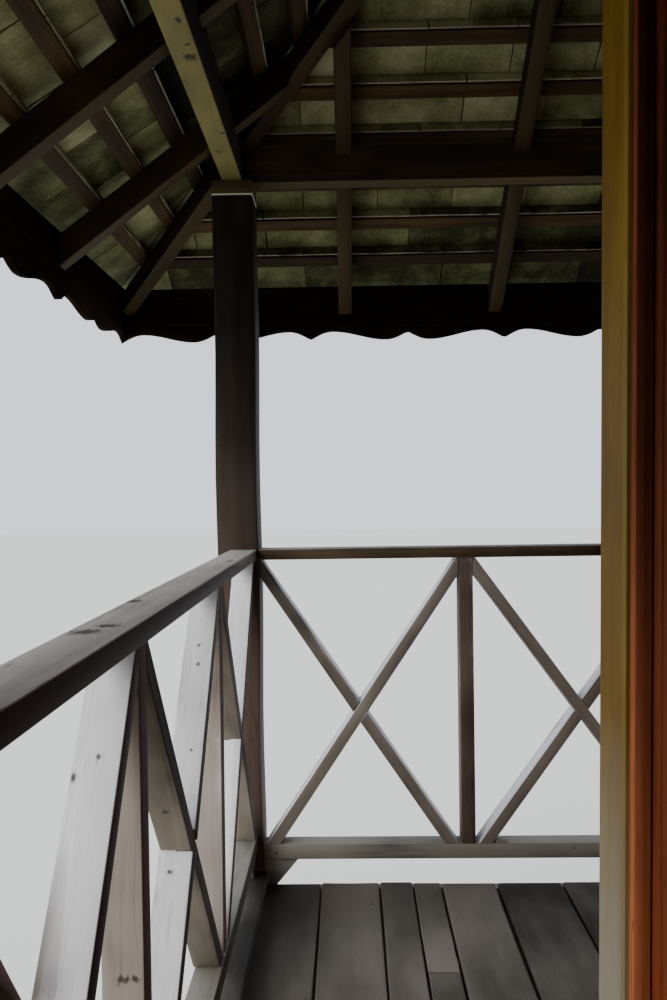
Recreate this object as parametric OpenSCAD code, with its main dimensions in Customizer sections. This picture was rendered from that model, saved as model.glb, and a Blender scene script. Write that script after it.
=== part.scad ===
// Stilt house: one boarded room in a gallery that runs all round it, under one hipped tile roof.
// Millimetres, +Z up. The origin is on the ground under the middle of the house.
// The long sides face -X (left) and +X (right), the short ends +Y (far) and -Y (near).

/* [Plan] */
// Distance between the posts of the railing, a third of a main bay
rail_bay = 680; // [620:10:740]
// Clear width of the gallery, from the railing to the corner boards of the room
gallery_w = 794; // [700:2:900]
// Height of the floor above the ground
floor_h = 1600; // [1200:50:2200]

/* [Posts] */
// Side of the square gallery posts
post_w = 120; // [100:5:150]
// Height of the gallery posts above the floor
post_h = 2053; // [1900:1:2300]
// Height of the block on top of each gallery post
head_block_h = 45; // [30:5:60]
// Side of the square posts of the room
room_post_w = 110; // [90:5:130]

/* [Floor] */
// Thickness of the floor
floor_t = 30; // [24:1:40]
// Distance that the floor reaches outside the post lines of the two long sides
side_floor_edge = 30; // [20:5:50]
// Distance that the floor stops inside the post lines of the two ends
end_floor_edge = 53; // [40:1:58]
// Gap between the floor and a post that passes through it
floor_gap = 2; // [1:1:6]
// Width of a joist
joist_w = 60; // [50:5:80]
// Height of a joist
joist_h = 120; // [100:5:150]
// Greatest distance between joists
joist_pitch = 550; // [400:10:640]
// Width of a bearer
bearer_w = 70; // [60:5:90]
// Height of a bearer
bearer_h = 160; // [140:5:200]

/* [Railing] */
// Top of the hand rail above the floor
rail_h = 1000; // [900:10:1100]
// Width of the hand rail, which lies flat
hand_rail_w = 78; // [66:2:90]
// Thickness of the hand rail
hand_rail_t = 32; // [28:1:50]
// Distance from a post line to the middle of its railing, on the gallery's side
rail_in = 16; // [0:1:24]
// Depth of the railing's posts, braces and bottom rails
railing_d = 60; // [50:2:64]
// Width of a railing post
rail_post_w = 42; // [36:2:54]
// Width of a brace
brace_w = 34; // [30:1:44]
// Distance from a post to the middle of a brace's foot
brace_foot_in = 30; // [28:1:40]
// Distance from the hand rail down the post to the middle of a brace's head
brace_head_down = 20; // [10:1:24]
// Height of the bottom rail
bottom_rail_t = 45; // [40:1:60]
// Height at which the bottom rails of the long sides stand clear of the floor
side_rail_gap = 104; // [90:1:120]
// Height at which the bottom rails of the two ends stand clear of the floor
end_rail_gap = 65; // [50:1:80]
// Length of the wedge that carries the end of a bottom rail
cleat_l = 105; // [100:5:130]
// Depth of that wedge
cleat_d = 44; // [30:2:50]
// Slant of that wedge's free end from upright in degrees
cleat_slant = 40; // [20:1:40]
// Width of the kerb that lies on the floor along each long side
kerb_w = 90; // [70:2:100]
// Thickness of the kerb
kerb_t = 34; // [24:1:40]
// Distance from a post line to the inner face of its kerb
kerb_in = 72; // [60:1:80]

/* [Roof frame] */
// Slope of every side of the roof in degrees
pitch = 37; // [33:1:40]
// Width of a plate
plate_w = 60; // [50:2:70]
// Height of a plate
plate_h = 105; // [100:5:115]
// Depth to which a rafter is cut down over its plate, at the middle of the plate
seat_drop = 48; // [38:1:50]
// Width of a rafter
rafter_w = 48; // [40:2:60]
// Depth of a rafter, square to its slope
rafter_d = 70; // [65:5:90]
// Distance from the corner post to the first rafter of the two ends
first_end_rafter = 332; // [300:2:360]
// Distance from the corner post to the first rafter of the two long sides
first_side_rafter = 198; // [160:2:240]
// Distance between rafters
rafter_pitch = 534; // [480:2:560]
// Distance from the post line to the rafter tails
eave_out = 465; // [400:5:520]
// Width of a hip rafter
hip_w = 50; // [44:2:60]
// Depth of a hip rafter, square to its slope
hip_d = 60; // [55:5:80]
// Width of the ridge beam
ridge_w = 50; // [40:2:60]
// Height of the ridge beam
ridge_h = 150; // [130:5:180]
// Side of a king post
king_w = 90; // [70:5:110]

/* [Roof covering] */
// Width of a batten along the slope
batten_w = 40; // [30:2:50]
// Thickness of a batten
batten_t = 25; // [20:1:32]
// Distance between battens along the slope
batten_pitch = 147; // [130:1:160]
// Distance from the rafter tails to the lowest batten along the slope
first_batten = 107; // [70:1:120]
// Gap between the battens that meet at a hip or at the ridge
batten_gap = 4; // [2:1:8]
// Thickness of one tile
tile_t = 13; // [10:1:16]
// Distance that the tiles reach past the fascia
tile_over = 45; // [30:5:70]
// Distance that a hip or ridge cap reaches down each slope
cap_reach = 110; // [90:5:140]
// Thickness of a cap
cap_t = 14; // [12:1:18]

/* [Fascia] */
// Thickness of a fascia board
fascia_t = 22; // [18:1:30]
// Depth of a fascia board down to its lobes
fascia_d = 191; // [170:1:220]
// Length of one repeat of the scalloped edge
scallop_l = 694; // [620:1:760]
// Height of the arch beside each point
arch_h = 30; // [16:1:40]
// Distance from a point to the top of its arch
arch_at = 78; // [60:1:90]
// Distance from a point to the lowest place of the lobe
lobe_at = 270; // [240:1:290]
// Height of the notch between two lobes
notch_h = 28; // [16:1:36]

/* [Room] */
// Width of a corner board on each face
corner_board_w = 160; // [140:5:200]
// Thickness of a corner board
corner_board_t = 31; // [22:1:36]
// Width of the bead beside a corner board
bead_w = 41; // [36:1:50]
// Distance that the bead stands out from the wall boards
bead_h = 30; // [22:1:34]
// Height of its round top
bead_round = 16; // [10:1:18]
// Gap between a corner board and its bead
bead_gap = 4; // [2:1:6]
// Thickness of the wall boards
wall_t = 25; // [20:1:30]
// Gap between the top of the walls and the hip rafters
wall_gap = 10; // [5:1:30]
// Clear width of the doorway
door_w = 760; // [700:10:900]
// Clear height of the doorway
door_h = 1850; // [1800:10:2000]
// Width of the door frame's members
frame_w = 60; // [50:5:80]
// Distance that the door frame stands out from the wall boards
frame_out = 12; // [5:1:20]

/* [Hidden] */

// Colours
POST = "#33241c";
ROOF_WOOD = "#2c1a12";
GREY_WOOD = "#a09890";
FLOOR_WOOD = "#554f48";
TILE = "#55543c";
OCHRE = "#6a5726";
BEAD = "#7a4320";
RED_WOOD = "#4a2214";

// Counts: rail bays in a main bay, main bays across the house and along it
RAIL_BAYS = 3;
CROSS_BAYS = 2;
LONG_BAYS = 3;

// Post lines, as distances from the middle of the house
bay = rail_bay * RAIL_BAYS;
half_x = bay * CROSS_BAYS / 2;
half_y = bay * LONG_BAYS / 2;

// Each side of the house: turn from the far end, distance to its post line, half its length,
// its main bays and whether it is one of the two long sides
FAR = [0, half_y, half_x, CROSS_BAYS, false];
NEAR = [180, half_y, half_x, CROSS_BAYS, false];
LEFT = [90, half_x, half_y, LONG_BAYS, true];
RIGHT = [-90, half_x, half_y, LONG_BAYS, true];
SIDES = [FAR, NEAR, LEFT, RIGHT];

// Heights
joist_z = floor_h - floor_t - joist_h;
bearer_z = joist_z - bearer_h;
post_z = floor_h + post_h;
plate_z = post_z + head_block_h;
seat_z = plate_z + plate_h;

// Distances inwards from a post line to the faces and lines of the room
board_face = rail_in + railing_d / 2 + gallery_w;
wall_face = board_face + corner_board_t;
room_post_face = wall_face + wall_t;
room_post_line = room_post_face + room_post_w / 2;
room_plate_line = room_post_face + plate_w / 2;
floor_seam = wall_face + wall_t / 2;

// Slope of the roof: o is the distance outwards from a post line
slope = tan(pitch);
upright = 1 / cos(pitch);
function under(o) = seat_z - seat_drop - o * slope;
function over(o) = under(o) + rafter_d * upright;
function batten_top(o) = over(o) + batten_t * upright;
function crest(o) = batten_top(o) + 3 * tile_t * upright;

// Hips: their slope, and the drop that keeps their edges under both sides of the roof
hip_pitch = atan(slope / sqrt(2));
hip_drop = hip_w / 2 * slope / sqrt(2);
function hip_over(o) = over(o) - hip_drop;
function hip_under(o) = hip_over(o) - hip_d / cos(hip_pitch);

room_seat_z = under(-room_plate_line) + seat_drop;
room_plate_z = room_seat_z - plate_h;
apex_y = half_y - half_x;
ridge_reach = ridge_w / 2 + hip_w / sqrt(2);
ridge_top = over(ridge_w / 2 - half_x);
wall_top = hip_under(-wall_face) - wall_gap;
board_top = hip_under(-board_face) - wall_gap;
tile_edge = eave_out + fascia_t + tile_over;
fascia_top = batten_top(eave_out + fascia_t);
hand_rail_z = floor_h + rail_h - hand_rail_t;
tall = 2 * (floor_h + post_h + half_x * slope);

// Frame of one side: s runs along the side, o outwards from its post line
module on_side(side) {
    rotate([0, 0, side[0]]) translate([0, side[1], 0]) children();
}

// A profile drawn as [o, z], made w thick along s about s = 0
module across(w) {
    translate([-w / 2, 0, 0]) rotate([90, 0, 90]) linear_extrude(w) children();
}

// A box from one corner to the other
module block(a, b) {
    translate(a) cube(b - a);
}

// The same piece in all four quarters of the plan
module quarters() {
    for (mx = [0, 1], my = [0, 1]) mirror([mx, 0, 0]) mirror([0, my, 0]) children();
}

// A square post on the point [x, y]
module square_post(x, y, w, z0, z1) {
    block([x - w / 2, y - w / 2, z0], [x + w / 2, y + w / 2, z1]);
}

// Posts

module corner_post_set(w, z0, z1) {
    for (x = [-half_x, half_x], y = [-half_y, half_y]) square_post(x, y, w, z0, z1);
}

module middle_post_set(w, z0, z1) {
    for (x = [-half_x, half_x], y = [-bay / 2, bay / 2]) square_post(x, y, w, z0, z1);
    for (y = [-half_y, half_y]) square_post(0, y, w, z0, z1);
}

module room_post_set(w, z0, z1) {
    x = half_x - room_post_line;
    for (sx = [-x, x], y = [half_y - room_post_line, apex_y]) {
        square_post(sx, y, w, z0, z1);
        square_post(sx, -y, w, z0, z1);
    }
}

module corner_posts() {
    color(POST) corner_post_set(post_w, 0, post_z);
}

module middle_posts() {
    color(POST) middle_post_set(post_w, 0, post_z);
}

module post_head_blocks() {
    color(POST) {
        corner_post_set(post_w, post_z, plate_z);
        middle_post_set(post_w, post_z, plate_z);
    }
}

module room_posts() {
    color(POST) room_post_set(room_post_w, 0, room_plate_z);
}

// Floor frame

module bearers() {
    color(ROOF_WOOD) for (side = SIDES) on_side(side) {
        for (i = [0 : side[3] - 1]) {
            s0 = -side[2] + i * bay + post_w / 2;
            s1 = s0 + bay - post_w;
            block([s0, -bearer_w / 2, bearer_z], [s1, bearer_w / 2, joist_z]);
        }
    }
}

module room_bearers() {
    x = half_x - room_post_line;
    room_y = half_y - room_post_line;
    r = room_post_w / 2;
    runs = [[apex_y + r, room_y - r], [room_y + r, half_y - bearer_w / 2]];
    color(ROOF_WOOD) for (sx = [-x, x]) {
        block([sx - bearer_w / 2, r - apex_y, bearer_z], [sx + bearer_w / 2, apex_y - r, joist_z]);
        for (run = runs, m = [0, 1]) mirror([0, m, 0])
            block([sx - bearer_w / 2, run[0], bearer_z], [sx + bearer_w / 2, run[1], joist_z]);
    }
}

// Joists run across the house, evenly between the lines of the room's posts
function joist_rows(y0, y1) =
    let (n = max(1, ceil((y1 - y0) / joist_pitch)))
    [for (i = [0 : n - 1]) y0 + (y1 - y0) * (i + 0.5) / n];

module joists() {
    room_y = half_y - room_post_line;
    rows = concat(joist_rows(-half_y, -room_y), joist_rows(-room_y, -apex_y),
        joist_rows(-apex_y, apex_y), joist_rows(apex_y, room_y), joist_rows(room_y, half_y));
    reach = half_x + side_floor_edge;
    end_o = joist_w / 2 - post_w / 2;
    color(ROOF_WOOD) {
        for (y = rows)
            block([-reach, y - joist_w / 2, joist_z], [reach, y + joist_w / 2, joist_z + joist_h]);
        for (side = [FAR, NEAR]) on_side(side) for (i = [0 : side[3] - 1]) {
            s0 = -side[2] + i * bay + post_w / 2;
            block([s0, end_o - joist_w / 2, joist_z],
                [s0 + bay - post_w, end_o + joist_w / 2, joist_z + joist_h]);
        }
    }
}

// Floors, cut round the posts that pass through them

module floor_slab(a, b) {
    block([a[0], a[1], floor_h - floor_t], [b[0], b[1], floor_h]);
}

module side_gallery_floors() {
    reach = half_y - end_floor_edge;
    z = floor_h - 2 * floor_t;
    color(FLOOR_WOOD) difference() {
        for (m = [0, 1]) mirror([m, 0, 0])
            floor_slab([-half_x - side_floor_edge, -reach], [floor_seam - half_x, reach]);
        corner_post_set(post_w + 2 * floor_gap, z, floor_h + floor_t);
        middle_post_set(post_w + 2 * floor_gap, z, floor_h + floor_t);
    }
}

module end_gallery_floors() {
    x = half_x - floor_seam;
    color(FLOOR_WOOD) difference() {
        for (m = [0, 1]) mirror([0, m, 0])
            floor_slab([-x, half_y - floor_seam], [x, half_y - end_floor_edge]);
        middle_post_set(post_w + 2 * floor_gap, floor_h - 2 * floor_t, floor_h + floor_t);
    }
}

module room_floor() {
    x = half_x - floor_seam;
    y = half_y - floor_seam;
    color(FLOOR_WOOD) difference() {
        floor_slab([-x, -y], [x, y]);
        room_post_set(room_post_w + 2 * floor_gap, floor_h - 2 * floor_t, floor_h + floor_t);
    }
}

// Railing. A rail bay i of a side runs from post line i to post line i + 1. Each line holds a main
// post where i is a whole number of main bays, or else a railing post.

function rail_line(side, i) = -side[2] + i * rail_bay;
function half_post(i) = (i % RAIL_BAYS == 0 ? post_w : rail_post_w) / 2;
function rail_count(side) = side[3] * RAIL_BAYS;
function is_entrance(side, i) = side == RIGHT && i == floor(rail_count(side) / 2);
function bottom_rail_z(side) = floor_h + (side[4] ? side_rail_gap : end_rail_gap);

// Start and end of each length of rail on a side: one for each main bay, and two in the bay that
// the entrance parts, which end flush with the railing posts beside it
function rail_runs(side) = [
    for (j = [0 : side[3] - 1])
        let (i = j * RAIL_BAYS, s0 = rail_line(side, i) + post_w / 2,
            s1 = rail_line(side, i + RAIL_BAYS) - post_w / 2)
        let (gate = [for (k = [i : i + RAIL_BAYS - 1]) if (is_entrance(side, k)) k])
        each len(gate) == 0 ? [[s0, s1]]
            : [[s0, rail_line(side, gate[0]) + rail_post_w / 2],
               [rail_line(side, gate[0] + 1) - rail_post_w / 2, s1]]
];

// Frame of the railing of one side, whose middle line is o = 0
module on_railing(side) {
    on_side(side) translate([0, -rail_in, 0]) children();
}

// Every length of rail of a side, from o0 to o1 across and from z0 to z1 in height
module rail_set(side, o0, o1, z0, z1) {
    on_railing(side) for (run = rail_runs(side)) block([run[0], o0, z0], [run[1], o1, z1]);
}

module hand_rails() {
    color(GREY_WOOD) for (side = SIDES)
        rail_set(side, -hand_rail_w / 2, hand_rail_w / 2, hand_rail_z, floor_h + rail_h);
}

module bottom_rails() {
    color(GREY_WOOD) for (side = SIDES) {
        z = bottom_rail_z(side);
        rail_set(side, -railing_d / 2, railing_d / 2, z, z + bottom_rail_t);
    }
}

module rail_posts() {
    color(GREY_WOOD) for (side = SIDES) on_railing(side) {
        z0 = bottom_rail_z(side) + bottom_rail_t;
        for (i = [1 : rail_count(side) - 1]) if (i % RAIL_BAYS != 0) {
            s = rail_line(side, i);
            block([s - rail_post_w / 2, -railing_d / 2, z0],
                [s + rail_post_w / 2, railing_d / 2, hand_rail_z]);
        }
    }
}

// Outline of a rising brace in its panel. The foot is cut level, clear of the post, and the head
// is cut upright against the next post and level under the hand rail.
module brace_outline(w, h) {
    head_z = h - brace_head_down;
    angle = atan2(head_z, w - brace_foot_in);
    a = brace_w / 2 / sin(angle);
    b = brace_w / 2 / cos(angle);
    polygon([[brace_foot_in - a, 0], [brace_foot_in + a, 0], [w, head_z - b], [w, h],
        [w - (head_z + b - h) / tan(angle), h]]);
}

// One brace of a panel. Where two braces cross, each is cut to half its depth, and one of them
// keeps the inner half.
module brace(w, h, rising, inner) {
    translate([0, railing_d / 2, 0]) rotate([90, 0, 0]) difference() {
        lean(w, rising) linear_extrude(railing_d) brace_outline(w, h);
        lean(w, !rising) translate([0, 0, inner ? -railing_d / 2 : railing_d / 2])
            linear_extrude(railing_d) brace_outline(w, h);
    }
}

module lean(w, rising) {
    if (rising) children();
    else translate([w, 0, 0]) mirror([1, 0, 0]) children();
}

// The rising brace is the inner one in every other panel
module brace_set(rising) {
    for (side = SIDES) on_railing(side) {
        z0 = bottom_rail_z(side) + bottom_rail_t;
        for (i = [0 : rail_count(side) - 1]) if (!is_entrance(side, i)) {
            s0 = rail_line(side, i) + half_post(i);
            s1 = rail_line(side, i + 1) - half_post(i + 1);
            inner = (i % 2 == 0) == rising;
            translate([s0, 0, z0]) brace(s1 - s0, hand_rail_z - z0, rising, inner);
        }
    }
}

module rising_braces() {
    color(GREY_WOOD) brace_set(true);
}

module falling_braces() {
    color(GREY_WOOD) brace_set(false);
}

// Wedges under both ends of every bottom rail. They stand on the kerbs of the long sides and on
// the end joists of the two ends.
module rail_wedges() {
    color(GREY_WOOD) for (side = SIDES) on_railing(side) {
        z0 = floor_h + (side[4] ? kerb_t : -floor_t);
        h = bottom_rail_z(side) - z0;
        for (run = rail_runs(side), m = [0, 1])
            translate([run[m], cleat_d / 2, z0]) mirror([m, 0, 0]) rotate([90, 0, 0])
                linear_extrude(cleat_d)
                    polygon([[0, 0], [cleat_l - h * tan(cleat_slant), 0], [cleat_l, h], [0, h]]);
    }
}

module kerbs() {
    color(FLOOR_WOOD) for (side = [LEFT, RIGHT]) on_side(side) for (run = rail_runs(side))
        block([run[0], -kerb_in, floor_h], [run[1], kerb_w - kerb_in, floor_h + kerb_t]);
}

// Rings of plates, lapped at the corners: the side plates keep their lower half there

module side_plate_pair(x, y, z) {
    for (sx = [-x, x]) difference() {
        block([sx - plate_w / 2, -y - plate_w / 2, z], [sx + plate_w / 2, y + plate_w / 2, z + plate_h]);
        for (sy = [-y, y])
            square_post(sx, sy, plate_w, z + plate_h / 2, z + 2 * plate_h);
    }
}

module end_plate_pair(x, y, z) {
    for (sy = [-y, y]) difference() {
        block([-x - plate_w / 2, sy - plate_w / 2, z], [x + plate_w / 2, sy + plate_w / 2, z + plate_h]);
        for (sx = [-x, x])
            square_post(sx, sy, plate_w, z - plate_h, z + plate_h / 2);
    }
}

module side_plates() {
    color(ROOF_WOOD) side_plate_pair(half_x, half_y, plate_z);
}

module end_plates() {
    color(ROOF_WOOD) end_plate_pair(half_x, half_y, plate_z);
}

module room_side_plates() {
    color(ROOF_WOOD)
        side_plate_pair(half_x - room_plate_line, half_y - room_plate_line, room_plate_z);
}

module room_end_plates() {
    color(ROOF_WOOD)
        end_plate_pair(half_x - room_plate_line, half_y - room_plate_line, room_plate_z);
}

module tie_beams() {
    x = half_x - room_plate_line - plate_w / 2;
    color(ROOF_WOOD) for (y = [-apex_y, apex_y])
        block([-x, y - plate_w / 2, room_plate_z], [x, y + plate_w / 2, room_seat_z]);
}

module king_posts() {
    color(ROOF_WOOD) for (y = [-apex_y, apex_y])
        square_post(0, y, king_w, room_seat_z, ridge_top - ridge_h);
}

// The ridge beam's ends are cut down to the slope of the roof's ends
module ridge_beam() {
    y1 = apex_y + ridge_reach;
    y2 = apex_y + ridge_w / 2;
    end_z = over(y1 - half_y);
    color(ROOF_WOOD) across(ridge_w)
        polygon([[-y1, ridge_top - ridge_h], [y1, ridge_top - ridge_h], [y1, end_z],
            [y2, ridge_top], [-y2, ridge_top], [-y1, end_z]]);
}

// Plates as the rafters of one side meet them
module plates_of(side) {
    room = side[2] - room_plate_line + plate_w;
    block([-side[2] - plate_w, -plate_w / 2, plate_z], [side[2] + plate_w, plate_w / 2, seat_z]);
    block([-room, -room_plate_line - plate_w / 2, room_plate_z],
        [room, plate_w / 2 - room_plate_line, room_seat_z]);
}

// Plan of one side of the roof, between its two hips, as an upright prism
module side_region(side, inset, outer, inner) {
    a = side[2] + outer - inset * sqrt(2);
    b = max(0, side[2] + inner - inset * sqrt(2));
    linear_extrude(tall) polygon([[-a, outer], [a, outer], [b, inner], [-b, inner]]);
}

// Rafters are set out from both corners of a side, with one in the middle where the two rows
// leave room for it
function rafter_rows(side) =
    let (first = side[2] - (side[4] ? first_side_rafter : first_end_rafter))
    let (last = floor(first / rafter_pitch - 0.25))
    concat(
        [for (i = [0 : last], m = [-1, 1]) m * (first - i * rafter_pitch)],
        first - last * rafter_pitch > 0.75 * rafter_pitch ? [0] : []);

// Rafters of one side, cut over the plates, against the hip rafters and against the ridge beam
module rafter_set(side) {
    inner = (side[4] ? ridge_w / 2 : ridge_reach) - half_x;
    on_side(side) intersection() {
        difference() {
            for (s = rafter_rows(side)) translate([s, 0, 0]) across(rafter_w)
                polygon([[eave_out, under(eave_out)], [eave_out, over(eave_out)],
                    [inner, over(inner)], [inner, under(inner)]]);
            plates_of(side);
        }
        side_region(side, hip_w / 2, eave_out + 1, inner - 1);
    }
}

module side_rafters() {
    color(ROOF_WOOD) {
        rafter_set(LEFT);
        rafter_set(RIGHT);
    }
}

module end_rafters() {
    color(ROOF_WOOD) {
        rafter_set(FAR);
        rafter_set(NEAR);
    }
}

// Frame of the corner at +X, +Y: o runs outwards along the hip
module on_hip() {
    translate([half_x, half_y, 0]) rotate([0, 0, -45]) children();
}

module hip_rafters() {
    out = (eave_out + hip_w) * sqrt(2);
    in = -half_x * sqrt(2);
    color(ROOF_WOOD) quarters() intersection() {
        difference() {
            on_hip() across(hip_w)
                polygon([[out, hip_under(out / sqrt(2))], [out, hip_over(out / sqrt(2))],
                    [in, hip_over(in / sqrt(2))], [in, hip_under(in / sqrt(2))]]);
            on_side(FAR) plates_of(FAR);
            on_side(RIGHT) plates_of(RIGHT);
        }
        block([ridge_w / 2, 0, 0], [half_x + eave_out, half_y + eave_out, tall]);
    }
}

// Battens and covering

batten_run = batten_pitch * cos(pitch);
batten_first = eave_out - first_batten * cos(pitch);
batten_rows = floor((batten_first + half_x - ridge_w / 2) / batten_run);

module batten_set(side) {
    on_side(side) intersection() {
        across(2 * (side[2] + eave_out)) for (i = [0 : batten_rows]) {
            o = batten_first - i * batten_run;
            translate([o, over(o)]) rotate(-pitch) translate([-batten_w, 0])
                square([batten_w, batten_t]);
        }
        side_region(side, batten_gap / 2, eave_out, batten_gap / 2 + batten_t - half_x);
    }
}

module battens() {
    color(ROOF_WOOD) for (side = SIDES) batten_set(side);
}

// Covering of one side: courses of tiles, each a step over the course below. Two tiles lie on
// every batten and a third laps them at the foot of each course.
module cover(side) {
    count = ceil((tile_edge + half_x) / batten_run);
    thin = 2 * tile_t * upright;
    thick = 3 * tile_t * upright;
    steps = [
        for (i = [0 : count - 1])
            let (a = tile_edge - i * batten_run, b = max(a - batten_run, -half_x))
            each [[a, batten_top(a) + thick],
                [b, batten_top(b) + thick + (thin - thick) * (a - b) / batten_run]]
    ];
    on_side(side) intersection() {
        across(2 * (side[2] + tile_edge))
            polygon(concat(steps,
                [[-half_x, batten_top(-half_x)], [tile_edge, batten_top(tile_edge)]]));
        side_region(side, 0, tile_edge, -half_x);
    }
}

module left_roof() {
    color(TILE) cover(LEFT);
}

module right_roof() {
    color(TILE) cover(RIGHT);
}

module far_roof() {
    color(TILE) cover(FAR);
}

module near_roof() {
    color(TILE) cover(NEAR);
}

// Section of a cap, whose two arms fall at the given slope
module cap_section(fall) {
    t = cap_t * sqrt(1 + fall * fall);
    r = cap_reach;
    polygon([[0, 0], [r, -r * fall], [r, t - r * fall], [0, t], [-r, t - r * fall], [-r, -r * fall]]);
}

// The caps of two hips and the ridge meet at each apex, on the lines that halve their angles
module hip_caps() {
    length = (half_x + tile_edge) * sqrt(2) / cos(hip_pitch);
    edge_x = half_x + tile_edge;
    edge_y = half_y + tile_edge;
    gap = batten_gap / 2;
    spread = edge_x * tan(22.5);
    color(TILE) quarters() intersection() {
        translate([0, apex_y, crest(-half_x)]) rotate([0, 0, -45]) rotate([-hip_pitch, 0, 0])
            translate([0, -cap_reach, 0]) rotate([90, 0, 180]) linear_extrude(length + 2 * cap_reach)
                cap_section(sin(hip_pitch));
        linear_extrude(tall)
            polygon([[gap, apex_y + gap], [edge_x, apex_y + gap - spread], [edge_x, edge_y],
                [gap, edge_y]]);
    }
}

module ridge_cap() {
    spread = cap_reach * tan(22.5);
    far_y = apex_y - spread;
    color(TILE) intersection() {
        translate([0, apex_y, crest(-half_x)]) rotate([90, 0, 0]) linear_extrude(2 * apex_y)
            cap_section(slope);
        linear_extrude(tall)
            polygon([[0, apex_y], [cap_reach, far_y], [cap_reach, -far_y], [0, -apex_y],
                [-cap_reach, -far_y], [-cap_reach, far_y]]);
    }
}

// Fascia. Its lower edge repeats a point, an arch on each side of it, a lobe and a notch.

function scallop(u) =
    u < arch_at ? arch_h * sin(90 * u / arch_at)
    : u < lobe_at ? arch_h * (1 + cos(180 * (u - arch_at) / (lobe_at - arch_at))) / 2
    : notch_h * (1 - cos(90 * (u - lobe_at) / (scallop_l / 2 - lobe_at)));

// Height of the lower edge at s, the distance from the corner of the eaves
function edge_at(s) =
    let (u = s - scallop_l * floor(s / scallop_l))
    scallop(min(u, scallop_l - u));

// One board, from the corner of the eaves to the middle of the side
module fascia_board(length) {
    steps = 2 * round(length / scallop_l * 24);
    polygon(concat(
        [[length, fascia_d], [0, fascia_d]],
        [for (i = [0 : steps]) [length * i / steps, edge_at(length * i / steps)]]));
}

module fascia_pair(side) {
    length = side[2] + eave_out + fascia_t;
    on_side(side) for (m = [0, 1]) mirror([m, 0, 0]) intersection() {
        translate([-length, eave_out + fascia_t, fascia_top - fascia_d]) rotate([90, 0, 0])
            linear_extrude(fascia_t) fascia_board(length - batten_gap / 2);
        linear_extrude(tall)
            polygon([[-length, eave_out + fascia_t], [0, eave_out + fascia_t], [0, eave_out],
                [fascia_t - length, eave_out]]);
    }
}

module side_fascias() {
    color(ROOF_WOOD) {
        fascia_pair(LEFT);
        fascia_pair(RIGHT);
    }
}

module end_fascias() {
    color(ROOF_WOOD) {
        fascia_pair(FAR);
        fascia_pair(NEAR);
    }
}

// Walls of the room. The side walls cover the ends of the end walls.

module wall_piece(side, s0, s1, z0) {
    on_side(side) block([s0, -room_post_face, z0], [s1, -wall_face, wall_top]);
}

wall_half_y = half_y - wall_face;
wall_half_x = half_x - room_post_face;
door_half = door_w / 2 + frame_w;

module left_wall() {
    color(RED_WOOD) wall_piece(LEFT, -wall_half_y, wall_half_y, floor_h);
}

module end_walls() {
    color(RED_WOOD) for (side = [FAR, NEAR]) wall_piece(side, -wall_half_x, wall_half_x, floor_h);
}

// Seen from inside, s grows towards the near end on the right side
module right_wall_far() {
    color(RED_WOOD) wall_piece(RIGHT, -wall_half_y, -door_half, floor_h);
}

module right_wall_near() {
    color(RED_WOOD) wall_piece(RIGHT, door_half, wall_half_y, floor_h);
}

module right_wall_head() {
    color(RED_WOOD) wall_piece(RIGHT, -door_half, door_half, floor_h + door_h + frame_w);
}

// Each corner board is an angle that laps both faces of its corner
module corner_boards() {
    x = half_x - board_face;
    y = half_y - board_face;
    w = corner_board_w;
    t = corner_board_t;
    color(OCHRE) quarters() translate([0, 0, floor_h]) linear_extrude(board_top - floor_h)
        polygon([[x, y], [x, y - w], [x - t, y - w], [x - t, y - t], [x - w, y - t], [x - w, y]]);
}

// Round-topped beads beside the corner boards
module corner_beads() {
    r = (bead_w * bead_w / 4 + bead_round * bead_round) / (2 * bead_round);
    inset = board_face + corner_board_w + bead_gap + bead_w / 2;
    color(BEAD) for (side = SIDES, m = [-1, 1]) on_side(side)
        translate([m * (side[2] - inset), -wall_face, floor_h])
            linear_extrude(board_top - floor_h) intersection() {
                union() {
                    translate([0, bead_h - r]) circle(r, $fn = 48);
                    translate([-bead_w / 2, 0]) square([bead_w, bead_h - bead_round]);
                }
                translate([-bead_w / 2, 0]) square([bead_w, bead_h]);
            }
}

// Door frame

module frame_piece(s0, s1, z0, z1) {
    on_side(RIGHT) block([s0, -room_post_face - frame_out, z0], [s1, frame_out - wall_face, z1]);
}

module door_jambs() {
    color(POST) for (m = [0, 1]) mirror([0, m, 0])
        frame_piece(door_w / 2, door_half, floor_h, floor_h + door_h);
}

module door_head() {
    color(POST) frame_piece(-door_half, door_half, floor_h + door_h, floor_h + door_h + frame_w);
}

corner_posts();
middle_posts();
post_head_blocks();
room_posts();
bearers();
room_bearers();
joists();
side_gallery_floors();
end_gallery_floors();
room_floor();
hand_rails();
bottom_rails();
rail_posts();
rising_braces();
falling_braces();
rail_wedges();
kerbs();
side_plates();
end_plates();
room_side_plates();
room_end_plates();
tie_beams();
king_posts();
ridge_beam();
hip_rafters();
side_rafters();
end_rafters();
battens();
left_roof();
right_roof();
far_roof();
near_roof();
hip_caps();
ridge_cap();
side_fascias();
end_fascias();
left_wall();
end_walls();
right_wall_far();
right_wall_near();
right_wall_head();
corner_boards();
corner_beads();
door_jambs();
door_head();
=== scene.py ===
"""Dresses a timber house on stilts: a railed gallery round a boarded room, under a hipped roof of clay tiles."""

import logging
import math
import zlib
from dataclasses import dataclass, replace
from enum import Enum
from functools import cache, partial
from typing import Any

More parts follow.
